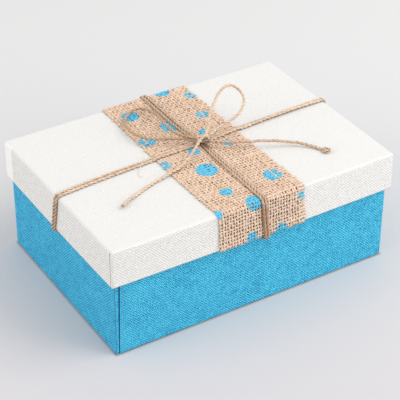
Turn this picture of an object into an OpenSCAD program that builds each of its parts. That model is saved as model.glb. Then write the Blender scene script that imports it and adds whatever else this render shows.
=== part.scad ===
// A two-piece gift box: a tray and a lift-off lid, both of scored board covered with folded linen
// paper. A hessian ribbon is wrapped round the lid and tied over with doubled jute twine and a bow.
// X runs along the box, Y across it and Z up. The origin is the middle of the underside.

/* [Box] */
// Height of the closed box, without ribbon and bow
box_h = 89; // [76:1:105]
// How far the lid stands proud of the base on each side
overhang = 3; // [2.6:0.1:4]

/* [Lid] */
// Length of the lid over its paper
lid_l = 230; // [200:1:260]
// Width of the lid over its paper
lid_w = 160; // [130:1:190]
// Depth of the lid's skirt
skirt_h = 29; // [24:1:40]
// Thickness of the lid's board
lid_board_t = 1.3; // [1:0.1:1.6]
// Thickness of the paper that lines the lid's ceiling
lid_liner_t = 0.2; // [0.1:0.1:0.5]

/* [Base] */
// Thickness of the base's board
base_board_t = 1.5; // [1.2:0.1:2]
// Thickness of the card that lines the base
base_liner_t = 0.4; // [0.3:0.1:0.8]
// How far the base's lining stops below the rim
liner_drop = 8; // [4:1:11]
// Inset of the underside's closing sheet from the base's edges
sheet_inset = 3; // [2:0.5:6]

/* [Board and tape] */
// Open joint between two walls of a board at a corner
corner_slit = 0.3; // [0.2:0.1:0.6]
// Thickness of the paper tape that holds the board's corners
tape_t = 0.1; // [0.05:0.05:0.1]
// Length of each leg of the corner tape
tape_w = 18; // [12:1:24]

/* [Linen paper] */
// Thickness of the covering paper
paper_t = 0.2; // [0.15:0.05:0.3]
// Radius of the lid's covered edges
lid_edge_r = 1.2; // [0.8:0.1:1.8]
// Radius of the base's covered edges
base_edge_r = 0.9; // [0.7:0.1:1.4]
// Depth to which the paper turns in over the rims
turn_in_h = 18; // [14:1:22]
// How much a turn-in narrows towards each of its ends
mitre_run = 4; // [2:0.5:6]
// Margin of paper turned under the base
margin_w = 15; // [10:1:25]
// Corner flap left in view beside the lid's end panels
lid_flap_show = 2.6; // [1.5:0.1:4]
// Corner flap left in view beside the base's side panels
base_flap_show = 3; // [1.2:0.1:4]

/* [Ribbon] */
// Width of the hessian ribbon
ribbon_w = 70; // [50:1:90]
// Thickness of the hessian
ribbon_t = 1; // [0.8:0.1:1.4]
// Distance of the ribbon's middle from the box's middle, to the right
ribbon_x = 1.5; // [-10:0.5:10]
// How far the ribbon's ends reach up inside the lid
ribbon_tuck_h = 14; // [8:1:20]
// Clear space between the tucked ribbon and the base
tuck_gap = 0.5; // [0.3:0.1:0.6]

/* [Twine] */
// Thickness of the two-ply twine
twine_d = 2; // [1.6:0.1:2.4]
// Gap between the two strands of a pair
strand_gap = 0.1; // [0.05:0.05:0.5]
// Distance of the crossing from the box's middle, to the right
cross_x = 3.5; // [0:0.5:8]
// Distance of the crossing from the box's middle, to the back
cross_y = 2; // [-4:0.5:6]
// Length over which a strand climbs onto the ribbon or over another pair
climb = 4; // [3:0.5:6]

/* [Bow] */
// Radius of the ring that the bow's knot is wound on
knot_r = 4.2; // [3.6:0.1:5]
// Radius of the ring that the right tail's end knot is wound on
end_knot_r = 2; // [2:0.1:2.6]
// Thickness of the twine where the end knot pulls it tight
end_knot_d = 1.6; // [1.4:0.1:1.6]

/* [Hidden] */
$fn = 48;

cord_sides = 8;       // flats round a twine
knot_rings = 40;      // rings along a wound knot
end_knot_rings = 30;
bend_steps = 3;       // rings in a twine's turn round an edge
slack = 1;            // how far a cutting shape runs past what it cuts

// Lid: the ends carry two layers of paper, the corner flap and the panel folded over it
lid_bottom = box_h - skirt_h;
lid_board_l = lid_l - 4 * paper_t;
lid_board_w = lid_w - 2 * paper_t;
lid_in_l = lid_board_l - 2 * lid_board_t;
lid_in_w = lid_board_w - 2 * lid_board_t;
lid_ceiling = box_h - paper_t - lid_board_t;
lid_face_l = lid_in_l - 2 * paper_t;
lid_face_w = lid_in_w - 2 * paper_t;

// Base: the long sides carry the two layers, and the closing sheet lies under the turned margin
base_l = lid_l - 2 * overhang;
base_w = lid_w - 2 * overhang;
rim = lid_ceiling - lid_liner_t;
wrap_bottom = paper_t;
base_board_bottom = wrap_bottom + paper_t;
base_board_top = rim - paper_t;
base_board_l = base_l - 2 * paper_t;
base_board_w = base_w - 4 * paper_t;
base_in_l = base_board_l - 2 * base_board_t;
base_in_w = base_board_w - 2 * base_board_t;
base_floor = base_board_bottom + base_board_t;
turn_in_bottom = rim - turn_in_h;

// Ribbon: its tucked ends are pressed into the space between the lid's skirt and the base
tuck_t = (lid_face_w - base_w) / 2 - tuck_gap;
ribbon_left = ribbon_x - ribbon_w / 2;
ribbon_right = ribbon_x + ribbon_w / 2;
ribbon_top = box_h + ribbon_t;

// Twine: the cross pair lies on the ribbon, and the long pair climbs onto the ribbon and over it
twine_r = twine_d / 2;
strand_step = twine_d + strand_gap;
pair_reach = strand_step / 2 + twine_r;
knot_level = ribbon_t + 2 * twine_d + pair_reach;
tuck_bend = 0.4;      // radius of a strand's inner side where it turns under the skirt
on_ribbon = ribbon_top + twine_r;
long_heights = [
    [ribbon_left - climb, box_h + twine_r], [ribbon_left, on_ribbon],
    [cross_x - pair_reach - climb, on_ribbon], [cross_x - pair_reach, on_ribbon + twine_d],
    [cross_x + pair_reach, on_ribbon + twine_d], [cross_x + pair_reach + climb, on_ribbon],
    [ribbon_right, on_ribbon], [ribbon_right + climb, box_h + twine_r],
];
cross_heights = [for (s = [-lid_w / 3, -lid_w / 6, cross_y, lid_w / 6, lid_w / 3]) [s, on_ribbon]];

// Sideways places of the two pairs: [distance along the pair's own way, distance across it]
long_line = [[-115, -2.5], [-80, -0.5], [-35, 1.5], [cross_x, cross_y], [40, 5], [80, 7], [115, 7.5]];
cross_line = [[-81, 2.4], [-70, 2.4], [-24, 2.5], [cross_y, cross_x], [27, 0.5], [81, 1]];
// Where they pass under the skirt, at the left and right ends and at the front and back
long_drops = [1, 8];
cross_drops = [5, 1];

// The bow's routes, from the middle of the lid's top
loop_right = [
    [4.5, -2.5, 6.5], [8.5, 1.5, 8.5], [12, 5.5, 11], [15.5, 10, 13.5], [19.5, 14, 16], [23.5, 17.5, 18.5],
    [28, 21.5, 20], [32.5, 25, 21.5], [37.5, 28.5, 22], [43, 31, 22], [49, 32.5, 20.5], [52.5, 29, 18],
    [52.5, 23, 16.5], [50.5, 17.5, 14.5], [46.5, 13, 13.5], [42, 9, 12.5], [36.5, 6.5, 11], [31, 5.5, 10],
    [25, 5.5, 8.5], [19, 4.5, 7.5], [13.5, 2.5, 6.5], [8, 0, 5.5],
];
loop_left = [
    [0, -1.5, 8], [-5, 2.5, 9], [-8, 7.5, 8.5], [-10, 13.5, 8], [-10, 19.5, 7.5], [-10, 26, 7.5],
    [-9, 32, 7], [-8.5, 38, 6.5], [-8, 44, 6.5], [-8.5, 50.5, 6], [-9.5, 56.5, 5.5], [-13, 61.5, 5],
    [-19, 62, 4.5], [-24.5, 59, 4], [-29, 55, 4], [-32, 49.5, 4], [-33.5, 43.5, 4.5], [-34.5, 37.5, 5],
    [-34, 31.5, 5.5], [-32.5, 25.5, 6], [-29.5, 20, 6.5], [-25.5, 15.5, 7], [-20, 12, 7.5], [-15, 9, 7.5],
    [-9.5, 6, 7], [-4.5, 2, 6.5], [-1, -3, 6],
];
tail_right = [
    [6.5, -5.5, 6], [11, -9.5, 6.5], [15.5, -13, 6.5], [20.5, -16.5, 6.5], [25.5, -19, 7], [31, -22, 6.5],
    [36.5, -24, 6.5], [42, -26.5, 6], [47, -28.5, 5.5], [52.5, -31, 4.5], [58, -33.5, 3.5], [62.5, -36.5, 3],
    [67, -40.5, 2], [70.5, -45, 1.5], [73.5, -50.5, 1.5],
];
tail_left = [
    [6, -1, 9.5], [1.5, -3.5, 9.5], [-3.5, -6.5, 8.5], [-8.5, -10, 7], [-13.5, -13.5, 6], [-19, -16.5, 4.5],
    [-24.5, -19, 3.5], [-30.5, -20.5, 2.5], [-37, -21.5, 2], [-43, -23, 1.5], [-49, -24, 1], [-55, -26, 1],
    [-61, -28, 1], [-67, -30.5, 1], [-72.5, -33, 1.5], [-78, -36, 2], [-83.5, -39.5, 2.5],
];
knot_place = [3.5, -2];
end_knot_place = [75, -53];
end_knot_turn = -61;  // way that the right tail runs into its end knot, seen from above

// ---- Shapes ----

// A rectangle on the origin with rounded corners
module rounded_rect(l, w, r) {
    square([l - 2 * r, w], center = true);
    square([l, w - 2 * r], center = true);
    for (x = [-1, 1], y = [-1, 1]) translate([x * (l / 2 - r), y * (w / 2 - r)]) circle(r);
}

// A block that stands on z = 0, rounded on its upright and upper edges
module soft_block(l, w, h, r) {
    intersection() {
        linear_extrude(h) rounded_rect(l, w, r);
        rotate([90, 0, 0]) linear_extrude(w + slack, center = true) rounded_rect(l, 2 * h, r);
        rotate([90, 0, 90]) linear_extrude(l + slack, center = true) rounded_rect(w, 2 * h, r);
    }
}

// The same block, rounded on its lower edges instead
module soft_tray_block(l, w, h, r) {
    translate([0, 0, h]) mirror([0, 0, 1]) soft_block(l, w, h, r);
}

// A plain block on z = 0, centred in X and Y
module block(l, w, h) {
    translate([-l / 2, -w / 2, 0]) cube([l, w, h]);
}

// Copies a shape drawn for the +X +Y corner to all four
module four_corners() {
    for (x = [0, 1], y = [0, 1]) mirror([x, 0, 0]) mirror([0, y, 0]) children();
}

// One turned-in margin of paper: it stands on z = 0 just inside y = 0 and narrows upwards
module turn_in(span) {
    narrow = span / 2 - mitre_run;
    rotate([90, 0, 0]) linear_extrude(paper_t)
        polygon([[-span / 2, 0], [span / 2, 0], [narrow, turn_in_h], [-narrow, turn_in_h]]);
}

// The four turned-in margins of a hollow of length l and width w
module turn_ins(l, w) {
    for (side = [0, 1]) {
        mirror([0, side, 0]) translate([0, w / 2, 0]) turn_in(l);
        mirror([side, 0, 0]) translate([l / 2, 0, 0]) rotate([0, 0, -90]) turn_in(w);
    }
}

// The joints between a board's walls: each end wall stops short of the side walls
module corner_slits(l, w, wall_t, h) {
    four_corners() translate([l / 2, w / 2 - corner_slit, 0])
        cube([wall_t + slack, corner_slit, h]);
}

// Paper tape round the four upright corners of a board
module corner_tape(l, w, h, r) {
    intersection() {
        difference() {
            linear_extrude(h) rounded_rect(l + 2 * tape_t, w + 2 * tape_t, r + tape_t);
            translate([0, 0, -slack]) linear_extrude(h + 2 * slack) rounded_rect(l, w, r);
        }
        four_corners() translate([l / 2 - tape_w, w / 2 - tape_w, 0])
            cube([tape_w + slack, tape_w + slack, h]);
    }
}

// ---- Twine ----

function unit(v) = v / norm(v);
function way(p, i) = unit(p[min(i + 1, len(p) - 1)] - p[max(i - 1, 0)]);
function way_round(p, i) = unit(p[(i + 1) % len(p)] - p[(i + len(p) - 1) % len(p)]);
function square_to(v, t) = unit(v - (v * t) * t);

// One side direction for each point, carried along the route without twist
function carried(p, last, i = 0) =
    i == len(p) ? [] : let (side = square_to(last, way(p, i))) concat([side], carried(p, side, i + 1));

function ring(centre, t, side, r) =
    [for (k = [0:cord_sides - 1]) let (a = 360 * k / cord_sides)
        centre + r * (cos(a) * side + sin(a) * cross(t, side))];

function tube_faces(rings, closed) =
    let (n = cord_sides, last = closed ? rings - 1 : rings - 2)
    [for (i = [0:last], k = [0:n - 1])
        let (a = i * n, b = (i + 1) % rings * n, j = (k + 1) % n)
            each [[a + k, a + j, b + j], [a + k, b + j, b + k]]];

// A length of twine through the points of a route
module twine(route, start_side = [0, 0, 1]) {
    sides = carried(route, start_side);
    rings = [for (i = [0:len(route) - 1]) ring(route[i], way(route, i), sides[i], twine_r)];
    last = (len(route) - 1) * cord_sides;
    caps = [[for (k = [cord_sides - 1:-1:0]) k], [for (k = [0:cord_sides - 1]) last + k]];
    polyhedron([for (r = rings) each r], concat(tube_faces(len(route), false), caps), convexity = 8);
}

// A wound knot: twine that runs twice round a ring of radius r and three times through it. Each turn
// passes the next at bite above or below the ring.
function wound(r, bite, n) = [for (i = [0:n - 1]) let (a = 360 * i / n)
    [(r + bite * cos(3 * a)) * cos(2 * a), (r + bite * cos(3 * a)) * sin(2 * a), bite * sin(3 * a)]];
function wound_sides(n) = [for (i = [0:n - 1]) let (a = 360 * i / n)
    [cos(3 * a) * cos(2 * a), cos(3 * a) * sin(2 * a), sin(3 * a)]];

module wound_knot(r, thickness, n) {
    route = wound(r, (thickness + strand_gap) / 2, n);
    out = wound_sides(n);
    rings = [for (i = [0:n - 1]) let (t = way_round(route, i))
        ring(route[i], t, square_to(out[i], t), thickness / 2)];
    polyhedron([for (r = rings) each r], tube_faces(n, true), convexity = 8);
}

// Half a taut strand's route, as [along, across, height] from its tucked tip to the top's edge. dir is
// -1 or 1, half and inner the skirt's outer and inner faces, low and top its lower and upper levels,
// and corner the radius of its upper edge.
function half_route(dir, half, inner, low, top, corner, drop, line) = concat(
    [[dir * inner, drop, low - twine_r]],
    [for (i = [0:bend_steps]) let (a = -90 + 90 * i / bend_steps, r = twine_r + tuck_bend)
        [dir * (half - tuck_bend + r * cos(a)), drop, low + tuck_bend + r * sin(a)]],
    [for (i = [0:bend_steps]) let (a = 90 * i / bend_steps, r = twine_r + corner)
        [dir * (half - corner + r * cos(a)), lookup(dir * half, line), top - corner + r * sin(a)]]);

function backwards(p) = [for (i = [len(p) - 1:-1:0]) p[i]];

function taut_route(half, inner, low, top, corner, drops, line, heights) = concat(
    half_route(-1, half, inner, low, top, corner, drops[0], line),
    [for (h = heights) [h[0], lookup(h[0], line), h[1]]],
    backwards(half_route(1, half, inner, low, top, corner, drops[1], line)));

module long_strand(offset) {
    route = taut_route(lid_l / 2, lid_face_l / 2, lid_bottom, box_h, lid_edge_r,
                       long_drops, long_line, long_heights);
    color("burlywood") twine([for (p = route) [p[0], p[1] + offset, p[2]]]);
}

module cross_strand(offset) {
    route = taut_route(lid_w / 2 + ribbon_t, lid_face_w / 2, lid_bottom - ribbon_t, ribbon_top,
                       lid_edge_r + ribbon_t, cross_drops, cross_line, cross_heights);
    color("burlywood") twine([for (p = route) [p[1] + offset, p[0], p[2]]]);
}

// A free end or loop of the bow, whose route starts from the middle of the lid's top
module bow_twine(route) {
    color("tan") translate([0, 0, box_h]) twine(route);
}

// ---- Base ----

module base_board_block() {
    translate([0, 0, base_board_bottom])
        soft_tray_block(base_board_l, base_board_w, base_board_top - base_board_bottom,
                        base_edge_r - paper_t);
}

// Scored board, its four walls folded up from the floor
module base_board() {
    color("lightgray") difference() {
        base_board_block();
        translate([0, 0, base_floor]) {
            block(base_in_l, base_in_w, box_h);
            corner_slits(base_in_l, base_in_w, base_board_t, box_h);
        }
    }
}

// Tape round the board's four corners, under the linen paper
module base_corner_stays() {
    start = base_board_bottom + base_edge_r;
    color("wheat") translate([0, 0, start])
        corner_tape(base_board_l, base_board_w, base_board_top - start, base_edge_r - paper_t);
}

// Linen paper: flaps folded round the corners, side panels over them, margins turned in and under
module base_wrap() {
    tall = rim - wrap_bottom;
    color("deepskyblue") difference() {
        union() {
            difference() {
                translate([0, 0, wrap_bottom]) {
                    soft_tray_block(base_l, base_w - 2 * paper_t, tall, base_edge_r);
                    intersection() {
                        soft_tray_block(base_l, base_w, tall, base_edge_r);
                        block(base_l - 2 * base_flap_show, base_w, tall);
                    }
                }
                base_board_block();
                translate([0, 0, base_floor])
                    block(base_in_l - 2 * paper_t, base_in_w - 2 * paper_t, box_h);
                block(base_l - 2 * margin_w, base_w - 2 * margin_w, base_floor);
            }
            translate([0, 0, rim]) mirror([0, 0, 1]) turn_ins(base_in_l, base_in_w);
        }
        base_corner_stays();
    }
}

// Sheet that closes the underside: it lies flat under the turned margins and fills the space between
module base_bottom_sheet() {
    color("dodgerblue") {
        block(base_l - 2 * sheet_inset, base_w - 2 * sheet_inset, wrap_bottom);
        block(base_l - 2 * margin_w, base_w - 2 * margin_w, base_board_bottom);
    }
}

// Card lining of the floor and walls, stepped over the turned-in paper
module base_liner() {
    lining_top = rim - liner_drop;
    color("white") difference() {
        translate([0, 0, base_floor]) {
            block(base_in_l, base_in_w, turn_in_bottom - base_floor);
            block(base_in_l - 2 * paper_t, base_in_w - 2 * paper_t, lining_top - base_floor);
        }
        translate([0, 0, base_floor + base_liner_t])
            block(base_in_l - 2 * base_liner_t, base_in_w - 2 * base_liner_t, box_h);
    }
}

// ---- Lid ----

module lid_board_block() {
    translate([0, 0, lid_bottom + paper_t])
        soft_block(lid_board_l, lid_board_w, skirt_h - 2 * paper_t, lid_edge_r - paper_t);
}

// Scored board, its four walls folded down from the top
module lid_board() {
    color("lightgray") difference() {
        lid_board_block();
        block(lid_in_l, lid_in_w, lid_ceiling);
        corner_slits(lid_in_l, lid_in_w, lid_board_t, lid_ceiling);
    }
}

// Tape round the board's four corners, under the linen paper
module lid_corner_stays() {
    color("wheat") translate([0, 0, lid_bottom + paper_t])
        corner_tape(lid_board_l, lid_board_w, skirt_h - paper_t - lid_edge_r, lid_edge_r - paper_t);
}

// Linen paper: flaps folded round the corners, end panels over them, margins turned in under the skirt
module lid_wrap() {
    color("white") difference() {
        union() {
            difference() {
                translate([0, 0, lid_bottom]) {
                    soft_block(lid_l - 2 * paper_t, lid_w, skirt_h, lid_edge_r);
                    intersection() {
                        soft_block(lid_l, lid_w, skirt_h, lid_edge_r);
                        block(lid_l, lid_w - 2 * lid_flap_show, skirt_h);
                    }
                }
                lid_board_block();
                block(lid_face_l, lid_face_w, lid_ceiling);
            }
            translate([0, 0, lid_bottom]) turn_ins(lid_in_l, lid_in_w);
        }
        lid_corner_stays();
    }
}

// Paper that lines the lid's ceiling, between the turned-in margins
module lid_liner() {
    color("ivory") translate([0, 0, rim]) block(lid_face_l, lid_face_w, lid_liner_t);
}

// ---- Ribbon ----

// The lid's cross-section, standing on its skirt's edge
module lid_section() {
    intersection() {
        rounded_rect(lid_w, 2 * skirt_h, lid_edge_r);
        translate([-lid_w / 2, 0]) square([lid_w, skirt_h]);
    }
}

// Hessian: over the top, down both skirts, round their edges and a short way up inside
module burlap_ribbon() {
    mouth_w = lid_face_w - 2 * tuck_t;
    color("burlywood") translate([ribbon_x, 0, lid_bottom])
        rotate([90, 0, 90]) linear_extrude(ribbon_w, center = true) {
            difference() {
                translate([0, skirt_h / 2])
                    rounded_rect(lid_w + 2 * ribbon_t, skirt_h + 2 * ribbon_t, lid_edge_r + ribbon_t);
                difference() {
                    lid_section();
                    for (side = [0, 1]) mirror([side, 0]) translate([mouth_w / 2, 0])
                        square([tuck_t, ribbon_tuck_h]);
                }
                square([mouth_w, 2 * ribbon_t + slack], center = true);
            }
        }
}

// ---- Twine and bow ----

module twine_long_back() { long_strand(strand_step / 2); }
module twine_long_front() { long_strand(-strand_step / 2); }
module twine_cross_left() { cross_strand(-strand_step / 2); }
module twine_cross_right() { cross_strand(strand_step / 2); }

module bow_loop_left() { bow_twine(loop_left); }
module bow_loop_right() { bow_twine(loop_right); }
module bow_tail_left() { bow_twine(tail_left); }
module bow_tail_right() { bow_twine(tail_right); }

// The knot that gathers the loops and tails; it sits on the crossing of the two pairs
module bow_knot() {
    color("peru") translate([knot_place[0], knot_place[1], box_h + knot_level])
        wound_knot(knot_r, twine_d, knot_rings);
}

// The stopper knot at the end of the right tail, lying on the lid
module tail_end_knot() {
    color("peru") translate([end_knot_place[0], end_knot_place[1], box_h + end_knot_d + strand_gap / 2])
        rotate([0, 0, end_knot_turn]) wound_knot(end_knot_r, end_knot_d, end_knot_rings);
}

base_board();
base_corner_stays();
base_wrap();
base_bottom_sheet();
base_liner();
lid_board();
lid_corner_stays();
lid_wrap();
lid_liner();
burlap_ribbon();
twine_long_back();
twine_long_front();
twine_cross_left();
twine_cross_right();
bow_knot();
bow_loop_left();
bow_loop_right();
bow_tail_left();
bow_tail_right();
tail_end_knot();
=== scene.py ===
"""Gift box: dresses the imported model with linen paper, a hessian ribbon, jute twine and a bow.

Metres, in the model's own frame: X along the box, Y across it, Z up, the underside on Z = 0.
"""
import math
from functools import partial

import bmesh
import bpy
import numpy as np
from bpy.props import FloatProperty, FloatVectorProperty, IntProperty, PointerProperty
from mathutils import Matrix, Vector
from mathutils.kdtree import KDTree


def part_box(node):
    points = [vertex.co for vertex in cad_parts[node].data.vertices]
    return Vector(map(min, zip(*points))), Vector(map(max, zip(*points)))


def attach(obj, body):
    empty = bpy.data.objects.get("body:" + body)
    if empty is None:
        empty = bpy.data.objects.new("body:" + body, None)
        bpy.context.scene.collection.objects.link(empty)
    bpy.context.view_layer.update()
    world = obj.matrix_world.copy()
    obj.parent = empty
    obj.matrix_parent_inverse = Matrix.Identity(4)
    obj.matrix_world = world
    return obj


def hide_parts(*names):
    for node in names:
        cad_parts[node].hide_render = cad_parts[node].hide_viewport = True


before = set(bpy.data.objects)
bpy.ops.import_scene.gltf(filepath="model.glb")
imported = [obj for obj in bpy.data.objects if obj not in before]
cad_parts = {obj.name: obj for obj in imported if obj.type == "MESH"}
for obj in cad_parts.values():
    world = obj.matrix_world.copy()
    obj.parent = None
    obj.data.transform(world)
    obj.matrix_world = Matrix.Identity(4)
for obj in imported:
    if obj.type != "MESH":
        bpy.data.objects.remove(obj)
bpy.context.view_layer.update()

bl_info = {
    "name": "Gift Box",
    "version": (1, 0, 0),
    "blender": (4, 5, 0),
    "location": "3D View > Sidebar > Gift Box",
    "description": "Linen paper, hessian ribbon, jute twine and bow around a two-piece gift box",
    "category": "Object",
}

MM = 0.001


def srgb(red, green, blue):
    """Linear RGBA of a colour given in 0-255 display values."""
    def linear(value):
        value /= 255
        return value / 12.92 if value <= 0.04045 else ((value + 0.055) / 1.055) ** 2.4
    return (linear(red), linear(green), linear(blue), 1.0)


def length(name, description, millimetres):
    return FloatProperty(name=name, description=description, default=millimetres * MM,
                         subtype="DISTANCE", unit="LENGTH")


def colour(name, description, red, green, blue):
    return FloatVectorProperty(name=name, description=description, size=4, subtype="COLOR",
                               min=0, max=1, default=srgb(red, green, blue))


def power(name, description, watts):
    return FloatProperty(name=name, description=description + ", in watts", default=watts, unit="POWER")


# ---- Sizes that the frame gives ----

LID_LOW, LID_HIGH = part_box("lid_wrap")
BASE_LOW, BASE_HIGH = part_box("base_wrap")
RIBBON_LOW, RIBBON_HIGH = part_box("burlap_ribbon")
LID_BOARD_LOW, LID_BOARD_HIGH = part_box("lid_board")
LINER_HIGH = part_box("lid_liner")[1]
BASE_BOARD_T = 1.5 * MM
LID_TOP = LID_HIGH.z
SKIRT_H = LID_HIGH.z - LID_LOW.z


# ---- Settings ----

class GiftBoxPaper(bpy.types.PropertyGroup):
    """Linen paper of the lid and the base."""
    weave: length("Weave", "Distance between two threads of the embossed linen", 1.1)
    edge: length("Edge radius", "Radius of the lid's level edges", 1.9)
    corner: length("Corner radius", "Radius of the lid's upright corners", 1.2)
    base_edge: length("Base edge radius", "Radius of the base's covered edges", 0.9)
    turn_in: length("Turn-in", "Depth to which the paper turns in over the rims", 18)
    margin: length("Margin", "Width of the paper turned under the base", 15)
    layer: length("Layer", "Height of a panel above the corner flap beside it", 0.2)
    lid_flap: length("Lid flap", "Corner flap in view beside the lid's end panels", 2.6)
    base_flap: length("Base flap", "Corner flap in view beside the foot of the base's sides", 2.6)
    flap_flare: length("Flap flare", "How much wider the base's corner flap is at its rim", 2.4)
    long_bow: length("Side bow", "How far the long skirts swell at the middle of their edge", 0.9)
    end_bow: length("End bow", "How far the end skirts swell at the middle of their edge", 0.6)


class GiftBoxHessian(bpy.types.PropertyGroup):
    """Hessian ribbon."""
    warps: IntProperty(name="Warps", description="Threads along the ribbon", default=29, min=2)
    wefts: IntProperty(name="Wefts", description="Threads across the ribbon", default=96, min=2)
    warp_step: length("Warp step", "Distance between two warps", 2.28)
    weft_step: length("Weft step", "Distance between two wefts", 2.65)
    thread_w: length("Thread width", "Half width of a thread", 0.86)
    thread_h: length("Thread height", "Half height of a thread", 0.46)
    crimp: length("Crimp", "How far a thread rises and dips as it weaves", 0.34)
    tuck: length("Tuck", "How far the ribbon's ends reach up inside the lid", 14)
    fringe: length("Fringe", "How far the wefts run past the last warp", 5.4)
    colour: colour("Hessian", "Colour of the jute yarn", 245, 222, 201)
    dark: colour("Hessian shade", "Darkest fibres of the yarn", 206, 168, 134)
    dot_colour: colour("Dots", "Colour of the printed dots", 112, 203, 234)


class GiftBoxTwine(bpy.types.PropertyGroup):
    """Jute twine and bow."""
    thickness: length("Thickness", "Thickness of the two-ply twine", 2.0)
    lay: length("Lay", "Length of one full turn of the two plies", 7.0)
    gap: length("Gap", "Gap between the two strands of a pair", 0.1)
    colour: colour("Twine", "Colour of the twine", 251, 231, 208)
    # Its colour is also that of the twine's painted shade
    dark: colour("Twine shade", "Darkest fibres of the twine", 180, 140, 108)


class GiftBoxStage(bpy.types.PropertyGroup):
    """Camera, lights and floor."""
    camera_place: FloatVectorProperty(
        name="Camera", description="Where the camera stands", subtype="TRANSLATION", unit="LENGTH",
        default=(-0.46722, -0.75557, 0.65239))
    camera_turn: FloatVectorProperty(
        name="Camera turn", description="Rotation of the camera about X, Y and Z", subtype="EULER",
        unit="ROTATION", default=tuple(math.radians(a) for a in (55.563, -0.232, -31.677)))
    lens: FloatProperty(name="Lens", description="Focal length, in millimetres", default=132.25)
    floor_colour: colour("Floor", "Colour of the floor", 206, 203, 206)
    key_power: power("Key light", "Power of the key light", 12.3)
    left_power: power("Left light", "Power of the left light", 5.9)
    front_power: power("Front light", "Power of the low front light", 6.4)
    sky_strength: FloatProperty(name="Sky", description="Strength of the even light", default=0.80)


# ---- Building node trees ----

class Tree:
    """Adds nodes to a shader or geometry tree and links them as they are added."""

    def __init__(self, tree):
        self.tree = tree

    def node(self, kind, *values, **settings):
        """A node of that kind. values feed its inputs in order."""
        made = self.tree.nodes.new(kind)
        for key, value in settings.items():
            setattr(made, key, value)
        for socket, value in zip(made.inputs, values):
            self.feed(socket, value)
        return made

    def named(self, kind, feeds, **settings):
        """A node of that kind, with its inputs fed by name."""
        made = self.node(kind, **settings)
        for key, value in feeds.items():
            self.feed(made.inputs[key], value)
        return made

    def feed(self, socket, value):
        if isinstance(value, bpy.types.NodeSocket):
            self.tree.links.new(value, socket)
        else:
            socket.default_value = value

    def shape(self, kind, feeds, **settings):
        """The first output of a geometry node, whose inputs are fed by name."""
        return self.named("GeometryNode" + kind, feeds, **settings).outputs[0]

    def math(self, operation, *values, clamp=False):
        return self.node("ShaderNodeMath", *values, operation=operation, use_clamp=clamp).outputs[0]

    def plus(self, first, second):
        return self.math("ADD", first, second)

    def minus(self, first, second):
        return self.math("SUBTRACT", first, second)

    def times(self, first, second):
        return self.math("MULTIPLY", first, second)

    def times_plus(self, first, second, third):
        return self.math("MULTIPLY_ADD", first, second, third)

    def size(self, value):
        """The value without its sign."""
        return self.math("ABSOLUTE", value)

    def vector(self, operation, *values):
        node = self.node("ShaderNodeVectorMath", *values, operation=operation)
        return node.outputs["Value" if operation == "LENGTH" else "Vector"]

    def scaled(self, vector, factor):
        feeds = {"Vector": vector, "Scale": factor}
        return self.named("ShaderNodeVectorMath", feeds, operation="SCALE").outputs["Vector"]

    def xyz(self, x=0.0, y=0.0, z=0.0):
        return self.node("ShaderNodeCombineXYZ", x, y, z).outputs[0]

    def parts(self, vector):
        return self.node("ShaderNodeSeparateXYZ", vector).outputs

    def noise(self, vector, scale, detail=2.0, roughness=0.5):
        feeds = {"Vector": vector, "Scale": scale, "Detail": detail, "Roughness": roughness}
        return self.named("ShaderNodeTexNoise", feeds).outputs["Fac"]

    def noise_along(self, along, scale, shift, row=0.0, detail=2.0):
        """Noise along a thread. shift and row set it apart from other threads and other noises."""
        return self.noise(self.xyz(self.times(along, scale), shift, row), 1.0, detail)

    def random(self, low, high, feeds):
        """A random number between two, or a random vector between two."""
        at, kind = (0, "FLOAT_VECTOR") if isinstance(low, tuple) else (2, "FLOAT")
        made = self.named("FunctionNodeRandomValue", feeds, data_type=kind)
        self.feed(made.inputs[at], low)
        self.feed(made.inputs[at + 1], high)
        return made.outputs[at // 2]

    def range(self, value, low, high, new_low=0.0, new_high=1.0, kind="SMOOTHSTEP"):
        return self.node("ShaderNodeMapRange", value, low, high, new_low, new_high,
                         interpolation_type=kind).outputs[0]

    def spread(self, noise, reach):
        """A noise stretched so that its usual values lie between -reach and reach."""
        return self.range(noise, 0.25, 0.75, -reach, reach, "LINEAR")

    def mix(self, factor, first, second):
        """A mix of two colours."""
        node = self.node("ShaderNodeMix", data_type="RGBA")
        for socket, value in ((0, factor), (6, first), (7, second)):
            self.feed(node.inputs[socket], value)
        return node.outputs[2]

    def attribute(self, name):
        return self.node("ShaderNodeAttribute", attribute_name=name).outputs["Fac"]


def new_material(name, build):
    """A material whose build function returns its colour, roughness and specular level and, where it
    has them, its sheen and the height and depth of its bump."""
    material = bpy.data.materials.new(name)
    material.use_nodes = True
    tree = Tree(material.node_tree)
    made = build(tree)
    shader = material.node_tree.nodes["Principled BSDF"].inputs
    tree.feed(shader["Base Color"], made["colour"])
    shader["Roughness"].default_value = made["roughness"]
    shader["Specular IOR Level"].default_value = made["specular"]
    shader["Sheen Weight"].default_value = made.get("sheen", 0.0)
    if "height" in made:
        bump = tree.named("ShaderNodeBump", {"Height": made["height"], "Distance": made["depth"]})
        tree.feed(shader["Normal"], bump.outputs[0])
    return material


def once(name, build):
    """The material of that name, built the first time it is asked for."""
    return bpy.data.materials.get(name) or new_material(name, build)


# ---- Materials ----

MATT = {"roughness": 0.85, "specular": 0.2}
PAPER = {"roughness": 0.75, "specular": 0.25, "depth": 0.08 * MM}
# Colours of painted shade
JUTE_SHADE_COLOUR = srgb(112, 70, 44)      # between the threads of the hessian
TWINE_SHADE_COLOUR = srgb(98, 62, 40)      # below and between the strands of twine
BROAD, FINE = 150.0, 1100.0        # an embossed thread's noise scale along it and across it
WANDER = 0.8                       # how far an embossed thread strays, in threads
# Strength of the blue paper's own mottled clouds, of the darkening at its rounded upright corners, and of
# the painted shade on its ends
CLOUDY, CORNER_DARK, END_SHADE = 0.14, 0.35, 0.1   # strength of the blue paper's clouds, corners and ends
STREAKS_APART, PATCHES_APART = 17.0, 31.0  # how far apart in the noise two threads lie
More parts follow.
